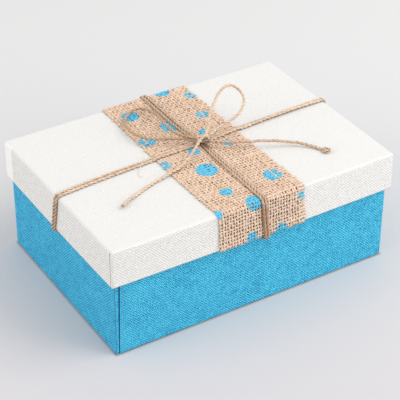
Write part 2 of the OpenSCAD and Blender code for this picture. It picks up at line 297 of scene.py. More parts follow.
# Painted shade: how dark twine gets where it hangs, on its underside, at its foot and in the knot's gaps
HANGING_TONE, UNDER_TONE, FOOT_TONE, KNOT_TONE = 0.45, 0.5, 0.5, 0.62
HANGS = (LID_TOP - 2 * MM, LID_TOP - 6 * MM)       # where it begins to hang, and where it hangs free
KNOT_GAPS = (4 * MM, 10 * MM)      # how far from their middle the knot's gaps begin and end to fade
GAPS_TOP = (LID_TOP + 8 * MM, LID_TOP + 5 * MM)    # and the heights where they are gone and whole
# Hessian: how pale the painted highlight on the skirts is, how dark the painted shade in the gaps is on the
# lid, how much more so on the skirts, and how dark the painted shadow beside the twine is
SKIRT_HIGHLIGHT, LID_GAPS, SKIRT_GAPS, BESIDE_TWINE = 0.12, 0.42, 0.28, 0.36


def linen(tree, light, dark, level_painted_light, level_painted_dark, regular, irregular, speckle_scale):
    """Embossed linen on the weave UV map: a regular weave, uneven threads both ways and speckle; painted
    shade makes raised threads paler and grooves darker. The level faces catch the light evenly, so they show
    less of it, with their own two colours of painted shading."""
    step = bpy.context.scene.gift_paper.weave
    place = tree.node("ShaderNodeUVMap", uv_map="weave").outputs[0]
    wander = tree.noise(place, 240.0, 2.0)
    u, v, _ = tree.parts(place)
    waves = [tree.math("SINE", tree.times(tree.times_plus(wander, stray * step, part), math.pi / step))
             for part, stray in ((u, WANDER), (v, -WANDER))]
    both_ways = [tree.spread(tree.noise(tree.vector("MULTIPLY", place, scale), 1.0, 2.0), 0.5)
                 for scale in ((BROAD, FINE, 1.0), (FINE, BROAD, 1.0))]
    speckle = tree.spread(tree.noise(place, speckle_scale, 1.0), 0.8)
    uneven = tree.times(tree.times_plus(tree.plus(*both_ways), 0.5, speckle), irregular)
    height = tree.times_plus(tree.times(*waves), regular, uneven)
    # Painted shade of the embossing: raised threads paler, grooves darker; the level faces take their own,
    # flatter painted shading
    raised = tree.range(height, -0.9, 0.9, kind="LINEAR")
    normal = tree.node("ShaderNodeNewGeometry").outputs["True Normal"]
    level = tree.size(tree.parts(normal)[2])
    shade = tree.mix(level, tree.mix(raised, dark, light), tree.mix(raised, level_painted_dark, level_painted_light))
    # Painted shadow of the seams, and a painted highlight on a panel's ridge where the seam value is
    # negative
    seam = tree.attribute("seam")
    seam_highlight = tree.math("MULTIPLY", seam, -0.5, clamp=True)
    return {"place": place, "height": height, "shade": tree.mix(seam_highlight, shade, light),
            "seam": tree.math("MULTIPLY", seam, 1.0, clamp=True), "normal": normal}


# Painted brown shade on the paper under the ribbon, seen through its holes: how far its middle lies to the
# left of the ribbon's, and how far from it the shade begins to fade and ends
RIBBON_SHADE_SHIFT, RIBBON_SHADE_FROM, RIBBON_SHADE_TO = 2.0 * MM, 30.5 * MM, 32.5 * MM
# Painted highlight where slack paper bulges at the far left corner: where it begins, and where it is whole
SLACK_HIGHLIGHT_X, SLACK_HIGHLIGHT_Y = (-113.5 * MM, -114.5 * MM), (66.5 * MM, 69.5 * MM)


def white_linen(tree):
    """The lid's paper, with its seams' painted shadow and highlight, a painted highlight on its slack far
    left corner, and painted brown shade under the ribbon.
    """
    paper = linen(tree, srgb(255, 254, 251), srgb(196, 194, 189), srgb(234, 233, 231),
                  srgb(222, 221, 218), regular=0.75, irregular=1.0, speckle_scale=1300.0)
    # Painted shadow of the lid's seams
    shade = tree.mix(paper["seam"], paper["shade"], srgb(172, 164, 156))
    place = tree.node("ShaderNodeTexCoord").outputs["Object"]
    x, y, _ = tree.parts(place)
    # Painted highlight on the bulging slack paper at the far left corner
    slack_highlight = tree.times(tree.range(y, *SLACK_HIGHLIGHT_Y), tree.range(x, *SLACK_HIGHLIGHT_X))
    shade = tree.mix(tree.times(slack_highlight, 0.75), shade, srgb(255, 253, 248))
    # Painted brown shade under the ribbon, seen through its holes
    middle = (RIBBON_LOW.x + RIBBON_HIGH.x) / 2 - RIBBON_SHADE_SHIFT
    under_ribbon_shade = tree.range(tree.size(tree.minus(x, middle)), RIBBON_SHADE_FROM, RIBBON_SHADE_TO, 0.9, 0.0)
    return {"colour": tree.mix(under_ribbon_shade, shade, srgb(214, 160, 118)), "height": paper["height"], **PAPER}


def blue_linen(tree):
    """The base's paper, with soft clouds, darker upright corners, painted shade on its ends, and its seams'
    painted shadow and highlight.
    """
    paper = linen(tree, srgb(98, 231, 255), srgb(0, 90, 158), srgb(100, 210, 248), srgb(24, 140, 194),
                  regular=1.0, irregular=1.8, speckle_scale=1400.0)
    clouds = tree.range(tree.noise(paper["place"], 55.0, 4.0, 0.6), 0.36, 0.64)
    shade = tree.mix(CLOUDY, paper["shade"], tree.mix(clouds, srgb(0, 132, 190), srgb(80, 206, 246)))
    across, deep, _ = tree.parts(paper["normal"])
    # Darker at the rounded upright corners
    corner = tree.range(tree.size(tree.times(across, deep)), 0.2, 0.45, 0.0, CORNER_DARK)
    # Painted shade on both ends
    end = tree.range(tree.size(across), 0.7, 1.0, 0.0, END_SHADE)
    # Darker towards these colours: the rounded upright corners, the ends as painted shade, and the seams as
    # painted shadow
    for strength, ink_and_shade in ((corner, (0, 84, 134)), (end, (0, 128, 206)), (paper["seam"], (0, 70, 120))):
        shade = tree.mix(strength, shade, srgb(*ink_and_shade))
    return {"colour": shade, "height": paper["height"], **PAPER}


def fibres(tree, along_scale, around_scale):
    """Streaks that follow a thread's own length: a noise on its along and around attributes."""
    turn = tree.times(tree.attribute("around"), 2 * math.pi)
    thread = tree.times(tree.attribute("thread"), STREAKS_APART)
    place = tree.xyz(tree.times(tree.attribute("along"), along_scale),
                     tree.times_plus(tree.math("COSINE", turn), around_scale, thread),
                     tree.times(tree.math("SINE", turn), around_scale))
    return tree.noise(place, 1.0, 4.0, 0.65)


def yarn(tree, light, dark):
    """Colour and height of a jute thread."""
    streaks = fibres(tree, along_scale=420.0, around_scale=2.6)
    thread = tree.times(tree.attribute("thread"), PATCHES_APART)
    patches = tree.noise_along(tree.attribute("along"), 60.0, thread)
    pale = tree.mix(tree.range(patches, 0.3, 0.7), light, tree.mix(0.3, light, dark))
    return tree.mix(tree.range(streaks, 0.34, 0.58), dark, pale), streaks


def jute_twine(tree):
    """Twine with painted shade: darker where it hangs, on its underside, at its foot and in the knot's gaps.
    """
    twine = bpy.context.scene.gift_twine
    shade, streaks = yarn(tree, tuple(twine.colour), tuple(twine.dark))
    place = tree.node("ShaderNodeTexCoord").outputs["Object"]
    height = tree.parts(place)[2]
    # Painted shade where the twine hangs down the skirts, added to each piece's tone
    hanging = tree.range(height, *HANGS, 0.0, HANGING_TONE)
    shade = tree.mix(tree.plus(tree.attribute("tone"), hanging), shade, tuple(twine.dark))
    # Painted shade on the underside, at the foot of strands lying on the lid, and in the knot's gaps
    normal = tree.node("ShaderNodeNewGeometry").outputs["Normal"]
    under = tree.range(tree.parts(normal)[2], 0.1, -0.8, 0.0, UNDER_TONE)
    away = tree.vector("LENGTH", tree.vector("SUBTRACT", place, tuple(from_lid_top(KNOT_HEART))))
    low = tree.range(height, *GAPS_TOP)
    knot_shade = tree.times(tree.range(away, *KNOT_GAPS, KNOT_TONE, 0.0), low)
    shaded = tree.math("MAXIMUM", tree.times(tree.attribute("sunk"), FOOT_TONE), under)
    shade = tree.mix(tree.math("MAXIMUM", shaded, knot_shade), shade, TWINE_SHADE_COLOUR)
    return {"colour": shade, "height": streaks, "depth": 0.22 * MM, "sheen": 0.15, **MATT}


def hessian(tree):
    """Hessian: painted shade between the threads, a painted shadow beside the twine, a painted highlight on
    the skirts, and blue inside the printed dots.
    """
    cloth = bpy.context.scene.gift_hessian
    shade, streaks = yarn(tree, tuple(cloth.colour), tuple(cloth.dark))
    facing, hanging = tree.attribute("facing"), tree.attribute("hanging")
    # Painted highlight: the skirts' threads are paler
    shade = tree.mix(tree.times(hanging, SKIRT_HIGHLIGHT), shade, srgb(255, 242, 228))
    # Painted shade between the threads, deeper on the skirts
    gaps = tree.mix(tree.times_plus(hanging, SKIRT_GAPS, LID_GAPS), shade, JUTE_SHADE_COLOUR)
    shade = tree.mix(tree.range(facing, 0.0, 0.75), gaps, shade)
    # Painted shadow beside the twine
    shade = tree.mix(tree.times(tree.attribute("shaded"), BESIDE_TWINE), shade, JUTE_SHADE_COLOUR)
    edge = tree.times_plus(streaks, 0.3, tree.attribute("dot"))
    inked = tree.times(tree.range(edge, 0.05, 0.25), tree.range(facing, -0.5, -0.2))
    inked = tree.times(inked, tree.times_plus(tree.attribute("bare"), -0.75, 1.0))
    ink_and_shade = tree.mix(tree.range(streaks, 0.3, 0.55), srgb(72, 168, 206), tuple(cloth.dot_colour))
    return {"colour": tree.mix(inked, shade, ink_and_shade), "height": streaks, "depth": 0.18 * MM, "sheen": 0.1,
            **MATT}


def plain_board(light, dark, grain=(900.0, 900.0, 900.0)):
    """Board or paper with a fine grain, from its Object coordinates."""
    def build(tree):
        place = tree.node("ShaderNodeTexCoord").outputs["Object"]
        fine = tree.noise(tree.vector("MULTIPLY", place, grain), 1.0, 4.0, 0.6)
        broad = tree.noise(place, 45.0, 3.0)
        shade = tree.mix(tree.range(fine, 0.3, 0.7), dark, light)
        shade = tree.mix(tree.range(broad, 0.3, 0.75, 0.0, 0.4), shade, dark)
        return {"colour": shade, "height": fine, "depth": 0.04 * MM, **MATT}
    return build


grey_board = plain_board(srgb(168, 164, 156), srgb(136, 131, 122))


# ---- Objects and meshes ----

def add_object(name, data):
    made = bpy.data.objects.new(name, data)
    bpy.context.scene.collection.objects.link(made)
    return made


def add_piece(mesh, name, body, replaced=()):
    """Links a finished mesh as a piece that rides on a body."""
    mesh.name = name
    piece = add_object(name, mesh)
    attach(piece, body)
    if replaced:
        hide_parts(*replaced)
    return piece


def mesh_from(points, edges=(), faces=()):
    mesh = bpy.data.meshes.new("work")
    mesh.from_pydata([tuple(p) for p in points], list(edges), list(faces))
    mesh.update()
    return mesh


def vertices(mesh, key="co"):
    """The vertices' places, or their normals, one to a row."""
    values = np.zeros(len(mesh.vertices) * 3, np.float32)
    mesh.vertices.foreach_get(key, values)
    return values.reshape(-1, 3)


def mark(mesh, name, values):
    """Writes an attribute that the materials read: one value for each vertex."""
    made = mesh.attributes.new(name, "FLOAT", "POINT")
    made.data.foreach_set("value", np.asarray(values, np.float32))


def run_tree(mesh, tree, inputs, name):
    """The plain mesh that a geometry tree makes of a mesh, with the tree's inputs set by name."""
    host = add_object(name + "_host", mesh)
    modifier = host.modifiers.new("tree", "NODES")
    modifier.node_group = tree
    for item in tree.interface.items_tree:
        if item.in_out == "INPUT" and item.name in inputs:
            modifier[item.identifier] = inputs[item.name]
    graph = bpy.context.evaluated_depsgraph_get()
    graph.update()
    made = bpy.data.meshes.new_from_object(host.evaluated_get(graph), depsgraph=graph)
    bpy.data.objects.remove(host)
    return made


def smooth(points, steps):
    """Catmull-Rom curve through the points, steps to each span."""
    p = np.array(points, float)
    p = np.vstack([2 * p[0] - p[1], p, 2 * p[-1] - p[-2]])
    t = np.linspace(0, 1, steps, endpoint=False)[:, None]
    spans = []
    for a, b, c, d in zip(p[:-3], p[1:-2], p[2:-1], p[3:]):
        spans.append(0.5 * (2 * b + (c - a) * t + (2 * a - 5 * b + 4 * c - d) * t ** 2
                            + (3 * b - a - 3 * c + d) * t ** 3))
    return np.vstack(spans + [p[-2:-1]])


# ---- Twine ----

RING_STEP = 0.5 * MM
BOW_STEPS, TIE_STEPS = 6, 3      # how many steps a smooth route takes from one given point to the next
LAY_CHANGE = 0.35      # how many turns the plies run ahead or behind
UNEVENNESS = 0.16      # share of its thickness by which the twine swells and thins
SEEDS_APART, PLIES_APART = 3.7, 0.37      # how far apart in the noise two strands, or two plies, lie
SUNK = (0.4, 1.5)      # heights on a strand, in millimetres, between which the shade of its foot fades
FRAYS, FRAY_RISE = 7, 0.6      # loose plies at a cut end, and their spread upwards as a share of aside


def new_geometry_tree(name, inputs):
    """An empty geometry tree with a geometry input and output, a seed, a material and the inputs
    named, given with their defaults."""
    tree = bpy.data.node_groups.new(name, "GeometryNodeTree")
    tree.interface.new_socket(name="Geometry", in_out="INPUT", socket_type="NodeSocketGeometry")
    kinds = {int: "NodeSocketInt", float: "NodeSocketFloat"}
    for label, default in {**inputs, "Seed": 1}.items():
        socket = tree.interface.new_socket(name=label, in_out="INPUT", socket_type=kinds[type(default)])
        socket.default_value = default
    tree.interface.new_socket(name="Material", in_out="INPUT", socket_type="NodeSocketMaterial")
    tree.interface.new_socket(name="Geometry", in_out="OUTPUT", socket_type="NodeSocketGeometry")
    nodes = Tree(tree)
    return nodes, nodes.node("NodeGroupInput").outputs, nodes.node("NodeGroupOutput").inputs


def store(nodes, geometry, kind="FLOAT", **values):
    """The geometry with the named attributes stored on it."""
    for name, value in values.items():
        geometry = nodes.shape("StoreNamedAttribute",
                               {"Geometry": geometry, "Name": name, "Value": value}, data_type=kind)
    return geometry


def finish_tree(nodes, given, output, body, reach):
    """Ends a tree of threads: stray fibres on the body, smooth shading and the material."""
    both = nodes.node("GeometryNodeJoinGeometry")
    hairs = stray_fibres(nodes, body, given["Density"], reach, given["Seed"])
    for part in (hairs, body):
        nodes.tree.links.new(part, both.inputs[0])
    made = nodes.shape("SetShadeSmooth", {"Geometry": both.outputs[0]})
    made = nodes.shape("RealizeInstances", {"Geometry": made})
    nodes.feed(output[0], nodes.shape("SetMaterial", {"Geometry": made, "Material": given["Material"]}))
    return nodes.tree


def stray_fibres(nodes, surface, density, reach, seed):
    """Short curved hairs that stand off a surface, each turned and sized at random."""
    feeds = {"Mesh": surface, "Density": density, "Seed": seed}
    scattered = nodes.named("GeometryNodeDistributePointsOnFaces", feeds).outputs
    hair = nodes.shape("CurveQuadraticBezier", {
        "Resolution": 5, "Start": (0, 0, -0.3 * MM), "Middle": (0, 0, 1.1 * MM),
        "End": (1.6 * MM, 0, 1.6 * MM)})
    thin = nodes.shape("CurvePrimitiveCircle", {"Resolution": 3, "Radius": 0.04 * MM})
    strand = nodes.shape("CurveToMesh", {"Curve": hair, "Profile Curve": thin})
    spin = nodes.random((-1.1, -1.1, 0.0), (1.1, 1.1, 6.28), {"Seed": seed})
    turn = nodes.named("FunctionNodeRotateRotation", {
        "Rotation": scattered["Rotation"], "Rotate By": spin}, rotation_space="LOCAL").outputs[0]
    grown = nodes.times(nodes.random(0.3, 0.95, {"Seed": seed}), reach)
    return nodes.shape("InstanceOnPoints", {
        "Points": scattered["Points"], "Instance": strand, "Rotation": turn, "Scale": grown})


def twine_tree():
    """Two plies laid round each other along every edge path of the mesh, with stray fibres. Radius is
    a ply's own, and Offset how far its middle lies from the twine's."""
    nodes, given, output = new_geometry_tree("Jute Twine", {
        "Radius": 0.78 * MM, "Offset": 0.4 * MM, "Lay": 0.0, "Density": 9e4, "Reach": 1.0, "Tone": 0.0})
    path = nodes.shape("MeshToCurve", {"Mesh": given["Geometry"]})
    path = nodes.shape("ResampleCurve", {"Curve": path, "Length": RING_STEP}, mode="LENGTH")
    path = nodes.shape("SetCurveNormal", {"Curve": path}, mode="MINIMUM_TWIST")
    along = nodes.node("GeometryNodeSplineParameter").outputs["Length"]
    shift = nodes.times(given["Seed"], SEEDS_APART)
    rhythm = nodes.noise_along(along, 90.0, shift)
    turns = nodes.times_plus(rhythm, LAY_CHANGE, nodes.math("DIVIDE", along, given["Lay"]))
    path = nodes.shape("SetCurveTilt", {"Curve": path, "Tilt": nodes.times(turns, 2 * math.pi)})
    path = store(nodes, path, along=along, tone=given["Tone"])
    ring = nodes.shape("CurvePrimitiveCircle", {"Resolution": 7, "Radius": given["Radius"]})
    ring = store(nodes, ring, around=nodes.node("GeometryNodeSplineParameter").outputs["Factor"])
    plies = nodes.node("GeometryNodeJoinGeometry")
    for side in (-1, 1):
        place = nodes.xyz(nodes.times(given["Offset"], float(side)))
        ply = nodes.shape("Transform", {"Geometry": ring, "Translation": place})
        ply = store(nodes, ply, thread=nodes.plus(given["Seed"], PLIES_APART * side))
        nodes.tree.links.new(ply, plies.inputs[0])
    swell = nodes.noise_along(along, 260.0, shift, row=5.0)
    scale = nodes.times_plus(nodes.minus(swell, 0.5), UNEVENNESS, 1.0)
    body = nodes.shape("CurveToMesh", {
        "Curve": path, "Profile Curve": plies.outputs[0], "Scale": scale, "Fill Caps": True})
    return finish_tree(nodes, given, output, body, given["Reach"])


def joined(first, second):
    """The second mesh added to the first."""
    bm = bmesh.new()
    bm.from_mesh(first)
    bm.from_mesh(second)
    bm.to_mesh(first)
    bm.free()
    bpy.data.meshes.remove(second)
    return first


def mark_sunk(mesh, raised):
    """Writes the sunk attribute for the painted shade at a strand's foot: 1 at the foot of a strand that
    lies on the lid, 0 from its middle up. raised is the height of what it lies on above the lid's own faces."""
    beyond = np.abs(vertices(mesh)) - (LID_HIGH.x, LID_HIGH.y, LID_TOP)
    height = np.linalg.norm(np.maximum(beyond, 0), axis=1) / MM - raised
    mark(mesh, "sunk", np.interp(height, SUNK, (1, 0)))


def path_mesh(paths, closed=False):
    """A mesh of edges along a list of paths, or along one path."""
    paths = paths if isinstance(paths, list) else [paths]
    edges, start = [], 0
    for points in paths:
        count = len(points)
        edges += [(start + i, start + (i + 1) % count) for i in range(count if closed else count - 1)]
        start += count
    return mesh_from(np.vstack(paths), edges)


def twist(name, points, seed, closed=False, **inputs):
    """Twine along the points, or along each path of a list, as a mesh."""
    tree = bpy.data.node_groups.get("Jute Twine") or twine_tree()
    values = {"Seed": seed, "Lay": bpy.context.scene.gift_twine.lay,
              "Material": once("Jute Twine", jute_twine), **inputs}
    return run_tree(path_mesh(points, closed), tree, values, name)


# The bow's routes, in millimetres from the middle of the lid's top
LOOP_RIGHT = [
    (4.5, -2.5, 6.5), (8.5, 1.5, 8.5), (12, 5.5, 11), (15.5, 10, 13.5), (19.5, 14, 16), (23.5, 17.5, 18.5),
    (28, 21.5, 20), (32.5, 25, 21.5), (37.5, 28.5, 22), (43, 31, 22), (49, 32.5, 20.5), (52.5, 29, 18),
    (52.5, 23, 16.5), (50.5, 17.5, 14.5), (46.5, 13, 13.5), (42, 9, 12.5), (36.5, 6.5, 11), (31, 5.5, 10),
    (25, 5.5, 8.5), (19, 4.5, 7.5), (13.5, 2.5, 6.5), (8, 0, 5.5),
]
LOOP_LEFT = [
    (0, -1.5, 8), (-5, 2.5, 9), (-8, 7.5, 8.5), (-10, 13.5, 8), (-10, 19.5, 7.5), (-10, 26, 7.5),
    (-9, 32, 7), (-8.5, 38, 6.5), (-8, 44, 6.5), (-8.5, 50.5, 6), (-9.5, 56.5, 5.5), (-13, 61.5, 5),
    (-19, 62, 4.5), (-24.5, 59, 4), (-29, 55, 4), (-32, 49.5, 4), (-33.5, 43.5, 4.5), (-34.5, 37.5, 5),
    (-34, 31.5, 5.5), (-32.5, 25.5, 6), (-29.5, 20, 6.5), (-25.5, 15.5, 7), (-20, 12, 7.5), (-15, 9, 7.5),
    (-9.5, 6, 7), (-4.5, 2, 6.5), (-1, -3, 6),
]
TAIL_RIGHT = [
    (6.5, -5.5, 6), (11, -9.5, 6.5), (15.5, -13, 6.5), (20.5, -16.5, 6.5), (25.5, -19, 7), (31, -22, 6.5),
    (36.5, -24, 6.5), (42, -26.5, 6), (47, -28.5, 5.5), (52.5, -31, 4.5), (58, -33.5, 3.5), (62.5, -36.5, 3),
    (67, -40.5, 2), (70.5, -45, 1.5), (73.5, -50.5, 1.5),
]
TAIL_LEFT = [
    (6, -1, 9.5), (1.5, -3.5, 9.5), (-3.5, -6.5, 8.5), (-8.5, -10, 7), (-13.5, -13.5, 6), (-19, -16.5, 4.5),
    (-24.5, -19, 3.5), (-30.5, -20.5, 2.5), (-37, -21.5, 2), (-43, -23, 1.5), (-49, -24, 1), (-55, -26, 1),
    (-61, -28, 1), (-67, -30.5, 1), (-72.5, -33, 1.5), (-78, -36, 2), (-83.5, -39.5, 2.5),
]
# A loose hair of jute on the lid beside the left tail
STRAY = [(-38.8, 7.1, 1.6), (-43.9, 2.5, 1.1), (-48.6, -2.1, 0.9), (-52, -6, 0.5), (-54.5, -10.4, 0.3),
         (-54, -13.6, 0.3)]
# The knot's wrap round the loops' feet, and the strand that joins the right loop to the left tail
KNOT_PLACE = (3.2, -1.4, 7.2)
KNOT_AXIS = math.radians(66)
# The knot's dark gaps are painted shade
KNOT_HEART = (5, -2, 4)    # the middle of the dark gaps under it
KNOT_JOIN = [(11.5, 5.5, 11.2), (8.8, 2, 10.4), (6, -1, 9.7), (1.5, -3.5, 9.5)]
END_KNOT_PLACE = (75, -53, 1.65)
END_KNOT_TURN = math.radians(-61)


def from_lid_top(route):
    """A point or route, in millimetres from the middle of the lid's top, as points in metres."""
    return np.array(route, float) * MM + (0, 0, LID_TOP)


def route_length(points):
    return float(np.linalg.norm(np.diff(points, axis=0), axis=1).sum())


def wound(radius, bite, rise, count):
    """A closed winding, in millimetres: twice round a ring and three times through it."""
    a = np.linspace(0, 2 * math.pi, count, endpoint=False)
    out = radius + bite * np.cos(3 * a)
    return np.stack([out * np.cos(2 * a), out * np.sin(2 * a), rise * np.sin(3 * a)], axis=1)


def wrap(turns, wide, high, pitch, count):
    """A few flat turns round an axis through the origin, level with the lid, in millimetres."""
    a = np.linspace(-turns * math.pi, turns * math.pi, count)
    along, beside = a / (2 * math.pi) * pitch, wide * np.sin(a)
    x = along * math.cos(KNOT_AXIS) - beside * math.sin(KNOT_AXIS)
    y = along * math.sin(KNOT_AXIS) + beside * math.cos(KNOT_AXIS)
    return np.stack([x, y, high * np.cos(a)], axis=1)


class GiftBoxBow(bpy.types.Operator):
    """Ties the bow: two loops, two tails, the knot that gathers them and the right tail's end knot"""
    bl_idname = "gift_box.bow"
    bl_label = "Bow"

    # Each free stretch of the bow: its CAD node, name, route, far end, seed and how dark it is, as painted
    # shade
    ENDS = [
        ("bow_loop_left", "loop_left", LOOP_LEFT, "object", 3, 0.62),
        ("bow_loop_right", "loop_right", LOOP_RIGHT, "object", 5, 0.0),
        ("bow_tail_left", "tail_left", TAIL_LEFT, "bare", 7, 0.0),
        ("bow_tail_right", "tail_right", TAIL_RIGHT, "knot", 9, 0.25),
    ]

    def execute(self, context):
        turns = wrap(turns=1.75, wide=4.0, high=2.0, pitch=2.1, count=90) * MM
        join = smooth(from_lid_top(KNOT_JOIN), BOW_STEPS)
        knot = twist("knot", [turns + from_lid_top(KNOT_PLACE), join], 11)
        add_piece(knot, "knot", "lid", ["bow_knot"])
        stopper = self.add_stopper()
        for node, name, route, far_end, seed, tone in self.ENDS:
            points = smooth(from_lid_top(route), BOW_STEPS)
            made = twist(name, points, seed, Tone=tone)
            if far_end == "bare":
                made = joined(made, self.frayed(points))
            piece = add_piece(made, name, "lid", [node])
        return {"FINISHED"}

    @staticmethod
    def add_stopper():
        """The knot at the end of the right tail, wound of thinner plies."""
        c, s = math.cos(END_KNOT_TURN), math.sin(END_KNOT_TURN)
        turn = np.array([[c, -s, 0], [s, c, 0], [0, 0, 1]])
        route = wound(radius=2.0, bite=0.85, rise=0.85, count=90) * MM @ turn.T
        mesh = twist("end_knot", route + from_lid_top(END_KNOT_PLACE), 13, closed=True,
                     Radius=0.45 * MM, Offset=0.4 * MM)
        return add_piece(mesh, "end_knot", "lid", ["tail_end_knot"])

    @staticmethod
    def frayed(points):
        """The loose plies at a cut end: short thin strands that spread from it."""
        ahead = (points[-1] - points[-4]) / np.linalg.norm(points[-1] - points[-4])
        aside, up = np.cross(ahead, (0, 0, 1)), np.array((0, 0, FRAY_RISE))
        strands = []
        for i in range(FRAYS):
            turn = 2 * math.pi * i / FRAYS
            out = aside * math.cos(turn) + up * math.sin(turn)
            # Every third one reaches furthest, and every second one spreads wider
            reach, spread = 0.4 + 0.4 * (i % 3), 0.8 + 0.35 * (i % 2)
            steps = [out * 0.5 - ahead * 2.2, out * 0.95, ahead * reach + out * spread]
            strands.append(points[-1] + np.array(steps) * MM)
        return twist("frayed", strands, 15, Radius=0.3 * MM, Offset=0.18 * MM, Reach=0.4, Tone=0.6)


# Sideways places of the two tied pairs, in millimetres: distance along the pair's way, and across it
LONG_LINE = [(-115, -3.8), (-80, -0.5), (-35, 1.5), (3.5, 2), (40, 5), (80, 7), (115, 7.5)]
CROSS_LINE = [(-81, 2.4), (-70, 2.4), (-24, 2.5), (2, 3.5), (27, 0.5), (81, 1)]
# Half the distance between a pair's strands along its way, and how far the nearer one rides up
LONG_SPREAD = [(-115, 1.35), (3.5, 1.25), (60, 0.9), (115, 0.9)]
LONG_LIFT = [(20, 0), (60, 0.9), (100, 0.9), (112, 0)]
CROSS_SPREAD = [(-80, 1.1), (2, 1.05), (40, 1.5), (80, 1.4)]
# Where the pairs reach the skirts' lower edges: at the left and right ends, and at the front and back
LONG_DROPS = (1.5, 8)
CROSS_DROPS = (5, 1)
CROSSING = 3.5     # where the pair across the lid passes over the other, to the right of the middle
CLIMB = 4          # how far a strand takes to climb on to what it crosses
RIM_END = 1.9      # thickness of the covered rim at the lid's ends
RIM_SIDE = 1.7     # and at its sides
RIM_ROUND = 0.4    # radius of the rim's outer edge
SLACK = 0.7        # how much wider than the lid's own edge a strand bends over it


def arc(centre, radius, start, end, steps):
    """Points (along, height) of an arc, angles in degrees."""
    angles = np.radians(np.linspace(start, end, steps + 1))
    return [(centre[0] + radius * math.cos(a), centre[1] + radius * math.sin(a)) for a in angles]


def skirt_shift(height, bow):
    """How far out the middle of a skirt lies at that height, in millimetres."""
    fall = min(max((LID_TOP / MM - height) / (SKIRT_H / MM), 0), 1)
    return bow / MM * fall ** 2


def section_route(half, inner, low, top, corner, reach, heights, bow):
    """A taut strand's line in its own section, as (along, height) in millimetres: up from under the
    skirt, round its edges, over the top through the heights, and down the other side. reach is the
    strand's distance from the faces it lies on, and bow how far the skirt swells."""
    side = [(inner, low - reach)]
    side += arc((half - RIM_ROUND, low + RIM_ROUND), reach + RIM_ROUND, -90, 0, 6)
    side += [(half + reach, z) for z in np.arange(low + 4, top - corner - 2, 4)]
    side += arc((half - corner, top - corner), reach + corner, 0, 90, 6)
    side = [(x + skirt_shift(z, bow), max(z, low - 0.6 * reach)) for x, z in side]
    return [(-x, z) for x, z in side] + list(heights) + side[::-1]


def sideways(route, line, drops, half):
    """Where each point of a section route lies across its way, in millimetres."""
    along, across = zip(*line)
    places = []
    for x, z in route:
        end = np.interp(x, along, across)
        drop = drops[0] if x < 0 else drops[1]
        fall = np.clip((LID_TOP / MM - z) / (SKIRT_H / MM), 0, 1) if abs(x) > half - 1 else 0
        places.append(end + (drop - end) * fall)
    return places


def long_routes():
    """The two strands along the lid: name and points, in metres."""
    twine, paper = bpy.context.scene.gift_twine, bpy.context.scene.gift_paper
    reach = twine.thickness / 2 / MM
    top, low, half = LID_TOP / MM, LID_LOW.z / MM, LID_HIGH.x / MM
    on_ribbon = RIBBON_HIGH.z / MM + reach
    pair = 2 * reach + twine.gap / 2 / MM
    left, right, over = RIBBON_LOW.x / MM, RIBBON_HIGH.x / MM, CROSSING
    heights = [
        (-90, top + reach), (-60, top + reach), (left - CLIMB, top + reach), (left, on_ribbon),
        (-18, on_ribbon), (over - pair - CLIMB, on_ribbon), (over - pair, on_ribbon + 2 * reach),
        (over + pair, on_ribbon + 2 * reach), (over + pair + CLIMB, on_ribbon), (22, on_ribbon),
        (right, on_ribbon), (right + CLIMB, top + reach), (60, top + reach), (90, top + reach)]
    route = section_route(half, half - RIM_END, low, top, paper.edge / MM + SLACK, reach, heights,
                          paper.end_bow)
    places = sideways(route, LONG_LINE, LONG_DROPS, half)
    for name, side in (("long_back", 1), ("long_front", -1)):
        lift = LONG_LIFT if name == "long_front" else [(0, 0)]
        points = [(x, y + side * np.interp(x, *zip(*LONG_SPREAD)), z + np.interp(x, *zip(*lift)))
                  for (x, z), y in zip(route, places)]
        yield name, smooth(np.array(points) * MM, TIE_STEPS)


def cross_routes():
    """The two strands across the lid, over the ribbon: name and points, in metres."""
    twine, paper = bpy.context.scene.gift_twine, bpy.context.scene.gift_paper
    reach = twine.thickness / 2 / MM
    ribbon_t = (RIBBON_HIGH.z - LID_TOP) / MM
    top, low, half = RIBBON_HIGH.z / MM, LID_LOW.z / MM - ribbon_t, LID_HIGH.y / MM + ribbon_t
    heights = [(y, top + reach) for y in (-66, -50, -34, -18, 2, 18, 34, 50, 66)]
    route = section_route(half, half - ribbon_t - RIM_SIDE, low, top, paper.edge / MM + ribbon_t,
                          reach, heights, paper.long_bow)
    places = sideways(route, CROSS_LINE, CROSS_DROPS, half)
    for name, side in (("cross_left", -1), ("cross_right", 1)):
        points = [(x + side * np.interp(y, *zip(*CROSS_SPREAD)), y, z)
                  for (y, z), x in zip(route, places)]
        yield name, smooth(np.array(points) * MM, TIE_STEPS)


class GiftBoxTies(bpy.types.Operator):
    """Lays the two doubled strands of twine: one pair along the lid, one across it over the ribbon"""
    bl_idname = "gift_box.ties"
    bl_label = "Tied twine"

    def execute(self, context):
        raised = {"long": 0.0, "cross": (RIBBON_HIGH.z - LID_TOP) / MM}
        # How dark each pair is, as painted shade
        tones = {"long": 0.0, "cross": 0.3}
        hair = twist("hair", smooth(from_lid_top(STRAY), BOW_STEPS), 31, Radius=0.18 * MM,
                     Offset=0.1 * MM, Density=0.0, Tone=0.8)
        for i, (name, points) in enumerate([*long_routes(), *cross_routes()]):
            way = name.split("_")[0]
            made = twist(name, points, 21 + 2 * i, Tone=tones[way])
            if name == "long_front":
                made = joined(made, hair)
            mark_sunk(made, raised[way])
            add_piece(made, name, "lid", ["twine_" + name])
        return {"FINISHED"}


# ---- Hessian ribbon ----

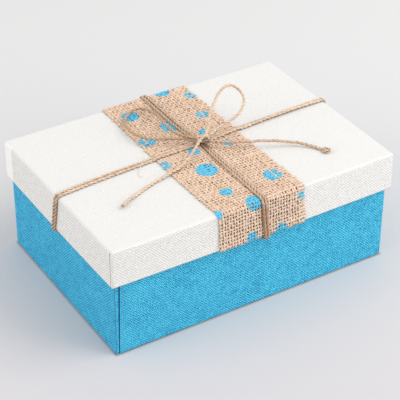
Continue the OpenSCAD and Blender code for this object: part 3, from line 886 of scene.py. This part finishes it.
# Printed dots: distance to the right of the box's middle, distance along the ribbon from the middle
# of the lid to the back, and radius, in millimetres
DOTS = [
    (-11.3, -29.9, 7.5), (-14.4, -60.1, 4.2), (24.7, -58.8, 6.5), (-3.9, -79.3, 6.1), (-33.8, -79.2, 3.6),
    (-6.7, -5.4, 4.2), (-32.6, -9.9, 4.3), (20.2, -7.1, 3.7), (13.3, 14.2, 3.5), (25.8, 35.3, 4.5),
    (32.8, 64.2, 4.3), (16.1, 79, 6), (-3.4, 33.4, 6.9), (-28.3, 23.4, 6), (-21.9, 59.8, 6.4),
    (-6.75, -106.7, 4), (17.5, -108.6, 4.5), (35.4, -86.6, 4.4),
    (-14, 96, 7), (23, 101, 4.5), (-30, 104, 4.2), (6, 112, 4),
]
# Along the ribbon from the lid's middle: where the bend to a skirt begins, and how long it is, in
# millimetres
SKIRT_FROM, SKIRT_BEND = 79, 4
# The threads at the ribbon's edges that missed the ink: how far in from the first and the last warp,
# and beyond where, down the front, the first ones caught it all the same
MISSED_LEFT, MISSED_RIGHT, CAUGHT_FROM = 5.2, 4.8, -70
BLEED = 0.3                # how far the ink ran past a dot's edge
FRINGE_LEFT, FRINGE_RIGHT = 0.2, 0.4       # how far past the first and the last warp the fringe begins
BESIDE = (1.6, 2.9)        # distances from a strand's middle between which its shade on the cloth fades
TUCK_GAP = 0.4             # how far inside the skirts' inner faces the tucked ends lie
LEVEL_INSET = 4            # how far from the lid's sides the ribbon's level part ends
FRINGE_FACING = 0.6        # the fringe's threads are no darker than ones that look out this much
THREADS_APART = 7.31       # how far apart in the noise two threads lie
DRIFT = 2.6 * MM           # how far a thread strays sideways
UNEVEN_HEIGHT = 0.3 * MM   # and up and down
THINNER, THICKER = -0.42, 0.48     # how a thread's thickness changes along its length
FINEST, COARSEST = 0.84, 1.18      # thickness of the finest thread and of the coarsest
LOOSE = 0.3                # how much fuller a thread is where it hangs loose
ON_LID, ON_SKIRTS = 1.06, 0.88     # how thick the threads are on the lid and on its skirts


def ribbon_guide(lift):
    """The ribbon's middle line in YZ, from inside the front skirt over the lid to inside the back one,
    in millimetres. lift is its distance from the lid."""
    cloth, paper = bpy.context.scene.gift_hessian, bpy.context.scene.gift_paper
    half, top, low = LID_HIGH.y / MM, LID_TOP / MM, LID_LOW.z / MM
    lip, corner = RIM_SIDE / 2, paper.edge / MM
    inner = half - 2 * lip
    side = [(inner - TUCK_GAP, low + z) for z in np.linspace(cloth.tuck / MM, 2, 9)]
    side += arc((half - lip, low + lip), lip + lift, -180, 0, 10)[1:]
    side += [(half + lift, z) for z in np.linspace(low + 3, top - corner - 1, 12)]
    side += arc((half - corner, top - corner), corner + lift, 0, 90, 6)
    side = [(y + skirt_shift(z, paper.long_bow), z) for y, z in side]
    flat = [(y, top + lift) for y in np.linspace(LEVEL_INSET - half, half - LEVEL_INSET, 60)]
    front = [(-y, z) for y, z in side]
    return [(0, y, z) for y, z in front + flat + side[::-1]]


def woven_tree(name, lengthwise):
    """Threads of a woven band laid on the guide path: the warp if lengthwise, otherwise the weft."""
    lengths = ("Step", "First", "Crossing Step", "Crossing First", "Start", "End", "Ragged", "Middle",
               "Half Width", "Half Height", "Crimp")
    nodes, given, output = new_geometry_tree(name, {
        **dict.fromkeys(lengths, 0.0), "Fringe From": 1.0, "Threads": 1, "Rings": 2, "Density": 2e4})
    guide = nodes.shape("MeshToCurve", {"Mesh": given["Geometry"]})
    row = nodes.shape("MeshLine", {"Count": given["Threads"], "Offset": (0, 0, 0.001)}, mode="OFFSET")
    line = nodes.shape("CurvePrimitiveLine", {"End": (1, 0, 0)})
    line = nodes.shape("ResampleCurve", {"Curve": line, "Count": given["Rings"]})
    threads = nodes.shape("InstanceOnPoints", {"Points": row, "Instance": line})
    threads = nodes.shape("RealizeInstances", {"Geometry": threads})
    number = nodes.node("GeometryNodeCurveOfPoint").outputs["Curve Index"]
    factor = nodes.node("GeometryNodeSplineParameter").outputs["Factor"]
    # Where each thread begins and ends, and where a place on it lies along it
    ragged = nodes.random(0.0, 1.0, {"ID": number, "Seed": given["Seed"]})
    end = nodes.times_plus(nodes.minus(ragged, 0.5), given["Ragged"], given["End"])
    begin = nodes.times_plus(ragged, nodes.times(given["Ragged"], -0.8), given["Start"])
    along = nodes.times_plus(factor, nodes.minus(end, begin), begin)
    # Where it lies across the other threads, straying a little, and how high it rides over them
    nominal = nodes.times_plus(number, given["Step"], given["First"])
    shift = nodes.times_plus(number, THREADS_APART, given["Seed"])
    drift = nodes.noise_along(along, 110.0, shift, detail=3.0)
    place = nodes.times_plus(nodes.minus(drift, 0.5), DRIFT, nominal)
    crossing = nodes.math("DIVIDE", nodes.minus(along, given["Crossing First"]), given["Crossing Step"])
    beat = nodes.times(nodes.plus(crossing, number), math.pi)
    wave = nodes.times(nodes.math("COSINE", beat), -1.0 if lengthwise else 1.0)
    uneven = nodes.noise_along(along, 260.0, shift, row=3.0)
    height = nodes.times(wave, given["Crimp"])
    height = nodes.times_plus(nodes.minus(uneven, 0.5), UNEVEN_HEIGHT, height)
    x, s = (place, along) if lengthwise else (along, place)
    spot = nodes.named("GeometryNodeSampleCurve", {"Curves": guide, "Length": s}, mode="LENGTH").outputs
    out = nodes.vector("NORMALIZE", nodes.vector("CROSS_PRODUCT", (1, 0, 0), spot["Tangent"]))
    lifted = nodes.vector("ADD", spot["Position"], nodes.scaled(out, height))
    core = nodes.vector("ADD", lifted, nodes.xyz(x))
    threads = store(nodes, threads, down=s, along=along, thread=shift, number=number)
    threads = store(nodes, threads, "FLOAT_VECTOR", out=out, core=core)
    # How thick it is: uneven along its length, more or less than its neighbours, fuller where it
    # hangs loose, and thinner on the skirts
    bulk = nodes.noise_along(along, 150.0, shift, row=9.0)
    each = nodes.random(0.0, 1.0, {"ID": number, "Seed": 5})
    scale = nodes.plus(nodes.range(bulk, 0.25, 0.75, THINNER, THICKER, kind="LINEAR"),
                       nodes.range(each, 0.0, 1.0, FINEST, COARSEST, kind="LINEAR"))
    loose = nodes.range(along, given["Fringe From"], nodes.plus(given["Fringe From"], 1.2 * MM))
    scale = nodes.times(scale, nodes.times_plus(loose, LOOSE, 1.0))
    from_middle = nodes.size(nodes.minus(s, given["Middle"]))
    skirt = nodes.range(from_middle, SKIRT_FROM * MM, (SKIRT_FROM + SKIRT_BEND) * MM, ON_LID, ON_SKIRTS)
    scale = nodes.times(scale, skirt)
    threads = nodes.shape("SetPosition", {"Geometry": threads, "Position": core})
    threads = nodes.shape("SetCurveNormal", {"Curve": threads, "Normal": out}, mode="FREE")
    ring = nodes.shape("CurvePrimitiveCircle", {"Resolution": 6, "Radius": 1.0})
    ring = store(nodes, ring, around=nodes.node("GeometryNodeSplineParameter").outputs["Factor"])
    flat = nodes.xyz(given["Half Height"], given["Half Width"], 1.0)
    ring = nodes.shape("Transform", {"Geometry": ring, "Scale": flat})
    body = nodes.shape("CurveToMesh", {
        "Curve": threads, "Profile Curve": ring, "Scale": scale, "Fill Caps": True})
    return finish_tree(nodes, given, output, body, 0.8)


# How far the ribbon lies to the right: distance along it from the lid's middle, and the shift, in mm
SLANT = [(-109, 2.4), (-84, 1.2), (-60, 0.2), (-30, -0.6), (10, -0.2), (80, 0.4)]


def slant(mesh, middle):
    """Moves a woven mesh to the right by the ribbon's slant."""
    down = read_attribute(mesh, "down") / MM - middle
    places = vertices(mesh)
    places[:, 0] += np.interp(down, *zip(*SLANT)) * MM
    mesh.vertices.foreach_set("co", places.ravel())
    mesh.update()


def read_attribute(mesh, name, width=1):
    values = np.zeros(len(mesh.vertices) * width, np.float32)
    mesh.attributes[name].data.foreach_get("vector" if width == 3 else "value", values)
    return values.reshape(-1, width) if width > 1 else values


def print_dots(mesh, middle, first, last, bare_warps=()):
    """Writes four attributes: facing, how far a thread's surface looks outwards; hanging, 1 on the
    skirts; dot, how far inside a printed dot's edge a place lies, in millimetres; and bare, 1 on the
    threads near the ribbon's edges that missed the ink: the warps given, or every other weft."""
    out, places = read_attribute(mesh, "out", 3), vertices(mesh)
    across = places[:, 0] / MM
    lengthwise = np.cross(out, (1.0, 0.0, 0.0))
    beside = ((places - read_attribute(mesh, "core", 3)) * lengthwise).sum(1)
    down = (read_attribute(mesh, "down") + beside) / MM - middle
    number = np.round(read_attribute(mesh, "number")).astype(int)
    if bare_warps:
        bare = np.isin(number, bare_warps) & (down > CAUGHT_FROM)
    else:
        bare = (across < first / MM + MISSED_LEFT) & (down > CAUGHT_FROM)
        bare = (bare | (across > last / MM - MISSED_RIGHT)) & (number % 2 == 0)
    facing = (vertices(mesh, "normal") * out).sum(1)
    fringe = (across < first / MM - FRINGE_LEFT) | (across > last / MM + FRINGE_RIGHT)
    facing[fringe] = np.maximum(facing[fringe], FRINGE_FACING)
    shift = np.interp(down, *zip(*SLANT))
    inside = [radius + BLEED - np.hypot(across + shift - x, down - s) for x, s, radius in DOTS]
    mark(mesh, "dot", np.clip(np.max(inside, axis=0), -2, 2))
    mark(mesh, "facing", facing)
    mark(mesh, "hanging", np.interp(np.abs(down), (SKIRT_FROM, SKIRT_FROM + SKIRT_BEND), (0, 1)))
    mark(mesh, "bare", bare)


def shade_beside(mesh, paths):
    """Writes the shaded attribute: 1 right beside or below a strand, 0 away from it."""
    points = np.vstack(paths)
    tree = KDTree(len(points))
    for i, point in enumerate(points):
        tree.insert(point, i)
    tree.balance()
    gaps = np.array([tree.find(place)[2] for place in vertices(mesh)]) / MM
    mark(mesh, "shaded", np.interp(gaps, BESIDE, (1, 0)))


class GiftBoxRibbon(bpy.types.Operator):
    """Weaves the hessian ribbon over the lid and prints its dots"""
    bl_idname = "gift_box.ribbon"
    bl_label = "Hessian ribbon"

    def execute(self, context):
        cloth = context.scene.gift_hessian
        guide = np.array(ribbon_guide((cloth.crimp + cloth.thread_h) / MM)) * MM
        total = route_length(guide)
        first_warp, first_weft = RIBBON_LOW.x, 0.6 * MM
        last_warp = first_warp + (cloth.warps - 1) * cloth.warp_step
        wefts = int((total - 2 * first_weft) / cloth.weft_step)
        shared = {"Middle": total / 2, "Half Width": cloth.thread_w, "Half Height": cloth.thread_h,
                  "Crimp": cloth.crimp, "Material": once("Hessian", hessian)}
        weft = {"Threads": wefts, "Step": cloth.weft_step, "First": first_weft, "Rings": 118, "Seed": 4,
                "Crossing Step": cloth.warp_step, "Crossing First": first_warp, "Ragged": 2 * MM,
                "Start": first_warp - 0.6 * MM, "End": last_warp + cloth.fringe,
                "Fringe From": last_warp + 0.3 * MM}
        warp = {"Threads": cloth.warps, "Step": cloth.warp_step, "First": first_warp, "Rings": 400,
                "Crossing Step": cloth.weft_step, "Crossing First": first_weft, "Seed": 2,
                "Start": 0.0, "End": total}
        strands = [points for _, points in (*long_routes(), *cross_routes())]
        strands += [smooth(from_lid_top(end[2]), BOW_STEPS) for end in GiftBoxBow.ENDS]
        middle, pieces = total / 2 / MM, []
        for name, values, missed, replaced in (
                ("hessian_weft", weft, (), []),
                ("hessian_warp", warp, (2, cloth.warps - 3), ["burlap_ribbon"])):
            tree = woven_tree(name, values is warp)
            mesh = run_tree(path_mesh(guide), tree, {**shared, **values}, name)
            print_dots(mesh, middle, first_warp, last_warp, missed)
            slant(mesh, middle)
            shade_beside(mesh, strands)
            pieces.append(add_piece(mesh, name, "lid", replaced))
        return {"FINISHED"}


# ---- Linen paper and boards ----

OUTLINE_STEP = 6 * MM      # distance between two places on a wall
CORNER_STEPS = 6
TOP_RINGS = (7 * MM, 3.2 * MM)     # how far in from its edges the rings on the lid's top lie
FOOT_RINGS = (5 * MM, 2 * MM)      # and those on the base's underside
UV_APART = (0.3, 0.2)      # how far apart the weave map's parts for the three axes lie, in metres
FLARE_REACH = 20 * MM      # how far in from a panel's edge the base's flaring paper runs straight again


class Outline:
    """Places round a rectangle with rounded corners, from the left end of its front, in metres. Each
    is a centre and the way out from it."""

    def __init__(self, long, wide, radius, marks_long=(), marks_wide=()):
        self.half = np.array([long / 2, wide / 2])
        self.radius = radius
        reach = self.half - radius
        x, y = self.places(reach[0], marks_long), self.places(reach[1], marks_wide)
        centres, ways = [], []
        for i, (values, way) in enumerate(((x, (0, -1)), (y, (1, 0)), (-x, (0, 1)), (-y, (-1, 0)))):
            way = np.array(way, float)
            for value in values:
                centres.append((value, way[1] * reach[1]) if i % 2 == 0 else (way[0] * reach[0], value))
                ways.append(way)
            corner = np.array([(1, -1), (1, 1), (-1, 1), (-1, -1)][i]) * reach
            start = math.atan2(way[1], way[0])
            for k in range(1, CORNER_STEPS):
                turn = start + math.pi / 2 * k / CORNER_STEPS
                centres.append(tuple(corner))
                ways.append(np.array([math.cos(turn), math.sin(turn)]))
        self.centres, self.ways = np.array(centres), np.array(ways)

    @staticmethod
    def places(reach, marks):
        """Increasing places from -reach to reach, with the marks on both sides of the middle."""
        count = max(2, round(2 * reach / OUTLINE_STEP))
        regular = np.linspace(-reach, reach, count + 1)
        marks = np.array([m * s for m in marks for s in (-1, 1)])
        if len(marks):
            clear = np.abs(regular[:, None] - marks[None]).min(axis=1) > OUTLINE_STEP / 3
            clear[[0, -1]] = True
            regular = np.concatenate([regular[clear], marks])
        return np.sort(regular)

    def rings(self, inset, heights, shape):
        return [self.ring(inset, height, shape) for height in heights]

    def ring(self, inset, height, shape):
        """The outline moved in by inset = (ends, sides), at that height. shape moves it outwards."""
        inset = np.broadcast_to(np.array(inset, float), 2)
        out = np.maximum(self.radius - inset, 0.0) * self.ways
        limit = self.half - np.maximum(inset, self.radius)
        centres = np.clip(self.centres, -limit, limit)
        points = centres + out
        points += self.ways * shape(points, self.ways, height)[:, None]
        return np.column_stack([points, np.full(len(points), height)])


def loft(rings, cap_first=False, cap_last=False, closed=False):
    """Quads between rings of equally many points."""
    count = len(rings[0])
    points = np.vstack(rings)
    faces = []
    for r in range(len(rings) if closed else len(rings) - 1):
        a, b = r * count, (r + 1) % len(rings) * count
        faces += [(a + i, a + (i + 1) % count, b + (i + 1) % count, b + i) for i in range(count)]
    if cap_first:
        faces.append(tuple(range(count - 1, -1, -1)))
    if cap_last:
        start = (len(rings) - 1) * count
        faces.append(tuple(start + i for i in range(count)))
    return points, faces


def skin_mesh(points, faces, seams, material):
    """A smooth mesh with its weave UV map in metres, laid on each face by the way it looks. The parts
    of the map that look along X, Y and Z are set apart."""
    mesh = mesh_from(points, faces=faces)
    mesh.materials.append(material)
    mark(mesh, "seam", seams)
    bm = bmesh.new()
    bm.from_mesh(mesh)
    bmesh.ops.remove_doubles(bm, verts=bm.verts, dist=1e-6)
    bmesh.ops.recalc_face_normals(bm, faces=bm.faces)
    uv = bm.loops.layers.uv.new("weave")
    for face in bm.faces:
        face.smooth = True
        way = [abs(v) for v in face.normal]
        axis = way.index(max(way))
        pick = ((1, 2), (0, 2), (0, 1))[axis]
        for loop in face.loops:
            loop[uv].uv = [loop.vert.co[i] + apart * axis for i, apart in zip(pick, UV_APART)]
    bm.to_mesh(mesh)
    bm.free()
    return mesh


def lid_swell(paper):
    """How far the lid's skirt swells: most at the middle of its lower edge, nothing at corners and
    top."""
    half = np.array([LID_HIGH.x - LID_LOW.x, LID_HIGH.y - LID_LOW.y]) / 2

    def swell(points, ways, height):
        fall = np.clip((LID_TOP - height) / SKIRT_H, 0, 1) ** 2
        near = 1 - np.clip(np.abs(points) / half, 0, 1) ** 2
        sides = np.abs(ways[:, 1]) * paper.long_bow * near[:, 0]
        ends = np.abs(ways[:, 0]) * paper.end_bow * near[:, 1]
        return fall * (sides + ends)
    return swell


def flat_shape(points, ways, height):
    return np.zeros(len(points))


# Seams: a painted shadow just past a panel's edge, and a painted highlight on its ridge where the darkness
# is negative
SEAM_MARKS = (-0.9, -0.3, 0.0, 0.35, 0.8)      # millimetres from a panel's edge towards the corner
SEAM_RISE = (1.0, 1.4, 0.1, -0.3, 0.0)         # height of the paper there, in layers
SEAM_SHADE = (0.0, -1.0, 1.0, 1.0, 0.0)          # how dark the seam is there, or how pale if negative


def seam_places(edge):
    return [edge + place * MM for place in SEAM_MARKS]


def panel_rise(distance):
    """Height in layers of a panel's surface, and darkness of the seam's painted shadow, by its distance past
    the panel's edge.
    """
    marks = np.array(SEAM_MARKS) * MM
    return np.interp(distance, marks, SEAM_RISE), np.interp(distance, marks, SEAM_SHADE)


def panel_shape(axis, edge, layer, swell=flat_shape):
    """How far out the paper of a box's walls lies, where a panel ends at edge on that axis and lies on
    the corner flaps beside it. upright fades the panel out round a level edge."""
    def shape(points, ways, height, upright=1.0):
        rise, _ = panel_rise(np.abs(points[:, axis]) - edge)
        straight = np.abs(ways[:, 1 - axis]) > 0.999
        return swell(points, ways, height) + upright * layer * rise * straight
    return shape


def seam_shade(points, axis, edge, outline, depth):
    """How dark the painted shadow of the seams at the panels' edges is, negative for their painted
    highlight, on what lies less than depth inside the outline.
    """
    _, ink_and_shade = panel_rise(np.abs(points[:, axis]) - edge)
    return ink_and_shade * (np.abs(points[:, 1 - axis]) > outline.half[1 - axis] - depth)


def turned_in(outline, board_t, rim, direction, paper, panel, plain):
    """Rings of the paper that turns in over a rim: round its lip, down the wall inside, and back up
    between paper and board. direction is -1 for a lower rim and 1 for an upper one, panel the shape
    of the outer face, and plain that of the inner ones."""
    inside = np.full(2, 2 * paper.layer + board_t)
    radius, rings, steps = float(inside[0]) / 2, [], 6
    for k in range(steps + 1):
        a = math.pi * k / steps
        inset = inside / 2 - inside / 2 * math.cos(a)
        height = rim - direction * radius + direction * radius * math.sin(a)
        rings.append(outline.ring(inset, height, panel if inset[0] < 0.4 * inside[0] else plain))
    ends = rim - direction * 3 * MM, rim - direction * paper.turn_in
    rings += outline.rings(inside, np.linspace(*ends, 4), plain)
    return rings + outline.rings(inside - paper.layer, (ends[1], rim - direction * paper.layer), plain)


def quarter(radius, steps=9):
    """(inset, drop, upright) down a rounded top edge: how far in and down each ring lies, and how
    nearly the surface there stands upright."""
    angles = np.linspace(0, math.pi / 2, steps + 1)
    return [(radius * (1 - math.sin(a)), radius * (1 - math.cos(a)), math.sin(a)) for a in angles]


class GiftBoxLid(bpy.types.Operator):
    """Shapes the lid's board and covers it with white linen paper, turned in under its skirt"""
    bl_idname = "gift_box.lid"
    bl_label = "Lid"

    def execute(self, context):
        self.add_board(context.scene.gift_paper)
        self.add_paper(context.scene.gift_paper)
        return {"FINISHED"}

    @staticmethod
    def add_board(paper):
        size = LID_BOARD_HIGH - LID_BOARD_LOW
        swell = lid_swell(paper)
        thick = LID_BOARD_HIGH.x - LINER_HIGH.x - paper.layer
        outline = Outline(size.x, size.y, paper.corner - paper.layer)
        high, low = LID_BOARD_HIGH.z, LID_BOARD_LOW.z
        rings = [outline.ring(5 * MM, high, swell)]
        rings += [outline.ring(inset, high - drop, swell)
                  for inset, drop, _ in quarter(paper.edge - paper.layer)]
        rings += outline.rings(0, np.linspace(high - 4 * MM, low, 8), swell)
        rings += outline.rings(thick, np.linspace(low, high - thick, 9), swell)
        points, faces = loft(rings, cap_first=True, cap_last=True)
        mesh = skin_mesh(points, faces, np.zeros(len(points)), once("Grey Board", grey_board))
        add_piece(mesh, "lid_shell", "lid", ["lid_board"])

    @staticmethod
    def add_paper(paper):
        long, wide = LID_HIGH.x - LID_LOW.x, LID_HIGH.y - LID_LOW.y
        layer, low = paper.layer, LID_LOW.z
        edge = wide / 2 - paper.lid_flap
        outline = Outline(long - 2 * layer, wide, paper.corner, marks_wide=seam_places(edge))
        swell = lid_swell(paper)
        panel = panel_shape(1, edge, layer, swell)
        board_t = LID_BOARD_HIGH.x - LINER_HIGH.x - layer
        rings = [outline.ring(inset, LID_TOP, swell) for inset in TOP_RINGS]
        rings += [outline.ring(inset, LID_TOP - drop, partial(panel, upright=upright))
                  for inset, drop, upright in quarter(paper.edge)]
        rings += outline.rings(0, np.linspace(LID_TOP - paper.edge - 2 * MM, low + 1.6 * MM, 9), panel)
        rings += turned_in(outline, board_t, low, -1, paper, panel, swell)
        hidden = np.array([0.02 * MM, layer])      # the paper's back, on the board's ends and sides
        rings += outline.rings(hidden, np.linspace(low + layer, LID_TOP - paper.edge - layer, 9), swell)
        rings.append(outline.ring(paper.edge + layer, LID_TOP - layer, swell))
        points, faces = loft(rings, cap_first=True, cap_last=True)
        seams = seam_shade(points, 1, edge, outline, 0.5 * MM) * (points[:, 2] < LID_TOP - 0.6 * MM)
        mesh = skin_mesh(points, faces, seams, once("White Linen Paper", white_linen))
        add_piece(mesh, "lid_paper", "lid", ["lid_wrap"])


class GiftBoxBase(bpy.types.Operator):
    """Covers the base with blue linen paper, turned in over its rim and under its edges"""
    bl_idname = "gift_box.base"
    bl_label = "Base"

    def execute(self, context):
        paper = context.scene.gift_paper
        long, wide = BASE_HIGH.x - BASE_LOW.x, BASE_HIGH.y - BASE_LOW.y
        layer, bend = paper.layer, paper.base_edge
        low, high = BASE_LOW.z, BASE_HIGH.z
        edge = long / 2 - paper.base_flap
        outline = Outline(long, wide - 2 * layer, bend, marks_long=seam_places(edge))
        panel = panel_shape(0, edge, layer)
        rings = [outline.ring(inset, low, flat_shape) for inset in (paper.margin, *FOOT_RINGS)]
        rings += [outline.ring(inset, low + rise, partial(panel, upright=upright))
                  for inset, rise, upright in quarter(bend, 5)]
        rings += outline.rings(0, np.linspace(low + bend + 2 * MM, high - 1.6 * MM, 10), panel)
        rings += turned_in(outline, BASE_BOARD_T, high, 1, paper, panel, flat_shape)
        rings += outline.rings(layer, (high - layer, low + bend), flat_shape)
        rings += [outline.ring(inset, low + layer, flat_shape)
                  for inset in (bend + layer, paper.margin)]
        points, faces = loft(rings, closed=True)
        x, y, z = points.T
        seams = seam_shade(points, 0, edge, outline, 0.4 * MM) * (z > low + 0.5 * MM)
        near = np.interp(np.abs(x), (edge - FLARE_REACH, edge, long / 2 - bend), (0, 1, 0))
        x -= np.sign(x) * paper.flap_flare * near * ((z - low) / (high - low))
        mesh = skin_mesh(points, faces, seams * (x * y > 0), once("Blue Linen Paper", blue_linen))
        add_piece(mesh, "base_paper", "base", ["base_wrap"])
        return {"FINISHED"}


class GiftBoxLinings(bpy.types.Operator):
    """Finishes the boards, corner tapes, linings and closing sheet"""
    bl_idname = "gift_box.linings"
    bl_label = "Boards and linings"

    def execute(self, context):
        tape = plain_board(srgb(196, 164, 120), srgb(168, 134, 92), (300.0, 300.0, 2400.0))
        liner = plain_board(srgb(244, 242, 236), srgb(228, 225, 217))
        sheet = plain_board(srgb(84, 176, 216), srgb(56, 150, 196))
        for name, finish, nodes in (
                ("Grey Board", grey_board, ("base_board",)),
                ("Gummed Tape", tape, ("base_corner_stays", "lid_corner_stays")),
                ("Liner Paper", liner, ("base_liner", "lid_liner")),
                ("Blue Closing Sheet", sheet, ("base_bottom_sheet",))):
            for node in nodes:
                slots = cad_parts[node].data.materials
                slots.clear()
                slots.append(once(name, finish))
        return {"FINISHED"}


# ---- Stage ----

LIT_PLACE = Vector((0, 0, 0.05))       # what the lights face
FLOOR_HALF = 12.0


class GiftBoxStudio(bpy.types.Operator):
    """Sets the camera, the soft lights and the pale floor"""
    bl_idname = "gift_box.stage"
    bl_label = "Stage"

    def execute(self, context):
        stage = context.scene.gift_stage
        camera = bpy.data.cameras.new("camera")
        camera.lens, camera.sensor_width = stage.lens, 36
        holder = add_object("camera", camera)
        holder.location, holder.rotation_euler = stage.camera_place, stage.camera_turn
        context.scene.camera = holder
        context.scene.view_settings.view_transform = "Standard"
        world = bpy.data.worlds.new("even_light")
        world.use_nodes = True
        background = world.node_tree.nodes["Background"].inputs
        background["Color"].default_value = srgb(255, 255, 255)
        background["Strength"].default_value = stage.sky_strength
        context.scene.world = world
        for name, place, size, energy, tint in (
                ("key", (0.9, -0.7, 1.3), (1.2, 1.2), stage.key_power, (1.0, 0.985, 0.965)),
                ("left", (-1.3, 0.1, 0.8), (1.2, 1.2), stage.left_power, (1.0, 1.0, 1.0)),
                ("front", (1.0, -1.45, 0.5), (1.0, 0.8), stage.front_power, (1.0, 1.0, 1.0))):
            light = bpy.data.lights.new(name, "AREA")
            light.shape, light.energy, light.color = "RECTANGLE", energy, tint
            light.size, light.size_y = size
            lamp = add_object(name, light)
            lamp.location = place
            lamp.rotation_euler = (LIT_PLACE - Vector(place)).to_track_quat("-Z", "Y").to_euler()
        corners = [(x * FLOOR_HALF, y * FLOOR_HALF, 0) for x, y in ((-1, -1), (1, -1), (1, 1), (-1, 1))]
        floor = mesh_from(corners, faces=[(0, 1, 2, 3)])
        floor.materials.append(once("Floor", self.floor_finish))
        add_object("floor", floor)
        return {"FINISHED"}

    @staticmethod
    def floor_finish(tree):
        """A pale floor with painted light, paler behind the box and far away, and a painted shadow in a thin
        line round its foot.
        """
        place = tree.node("ShaderNodeTexCoord").outputs["Object"]
        x, y, _ = tree.parts(place)
        # Painted light: paler behind the box and far from it
        behind = tree.range(tree.times_plus(x, 0.5, y), -0.35, 0.45)
        shade = tree.mix(behind, tuple(bpy.context.scene.gift_stage.floor_colour), srgb(220, 220, 220))
        far = tree.range(tree.vector("LENGTH", place), 1.0, 4.0)
        shade = tree.mix(far, shade, srgb(250, 250, 250))
        # Painted shadow in a thin line round the base's foot
        gap = tree.math("MAXIMUM", *(tree.minus(tree.size(part), half)
                                     for part, half in ((x, BASE_HIGH.x), (y, BASE_HIGH.y))))
        line = tree.range(gap, 0.0, 1.8 * MM, 0.45, 0.0)
        return {"colour": tree.mix(line, shade, srgb(128, 96, 86)), "roughness": 0.9, "specular": 0.2}


class GiftBoxPanel(bpy.types.Panel):
    """Lists the steps that dress the gift box"""
    bl_idname = "VIEW3D_PT_gift_box"
    bl_label = "Gift Box"
    bl_space_type = "VIEW_3D"
    bl_region_type = "UI"
    bl_category = "Gift Box"

    def draw(self, context):
        for step in STEPS:
            self.layout.operator(step.bl_idname)
        for name in SETTINGS:
            group = getattr(context.scene, name)
            box = self.layout.box()
            for key in group.__annotations__:
                box.prop(group, key)


SETTINGS = {
    "gift_paper": GiftBoxPaper,
    "gift_hessian": GiftBoxHessian,
    "gift_twine": GiftBoxTwine,
    "gift_stage": GiftBoxStage,
}
STEPS = (GiftBoxStudio, GiftBoxBow, GiftBoxTies, GiftBoxRibbon, GiftBoxLid, GiftBoxBase, GiftBoxLinings)


def register():
    for made in (*SETTINGS.values(), *STEPS, GiftBoxPanel):
        bpy.utils.register_class(made)
    for name, group in SETTINGS.items():
        setattr(bpy.types.Scene, name, PointerProperty(type=group))


def unregister():
    for name in SETTINGS:
        delattr(bpy.types.Scene, name)
    for made in reversed((*SETTINGS.values(), *STEPS, GiftBoxPanel)):
        bpy.utils.unregister_class(made)


def main():
    register()
    for step in STEPS:
        group, name = step.bl_idname.split(".")
        getattr(getattr(bpy.ops, group), name)()


if __name__ == "__main__":
    main()
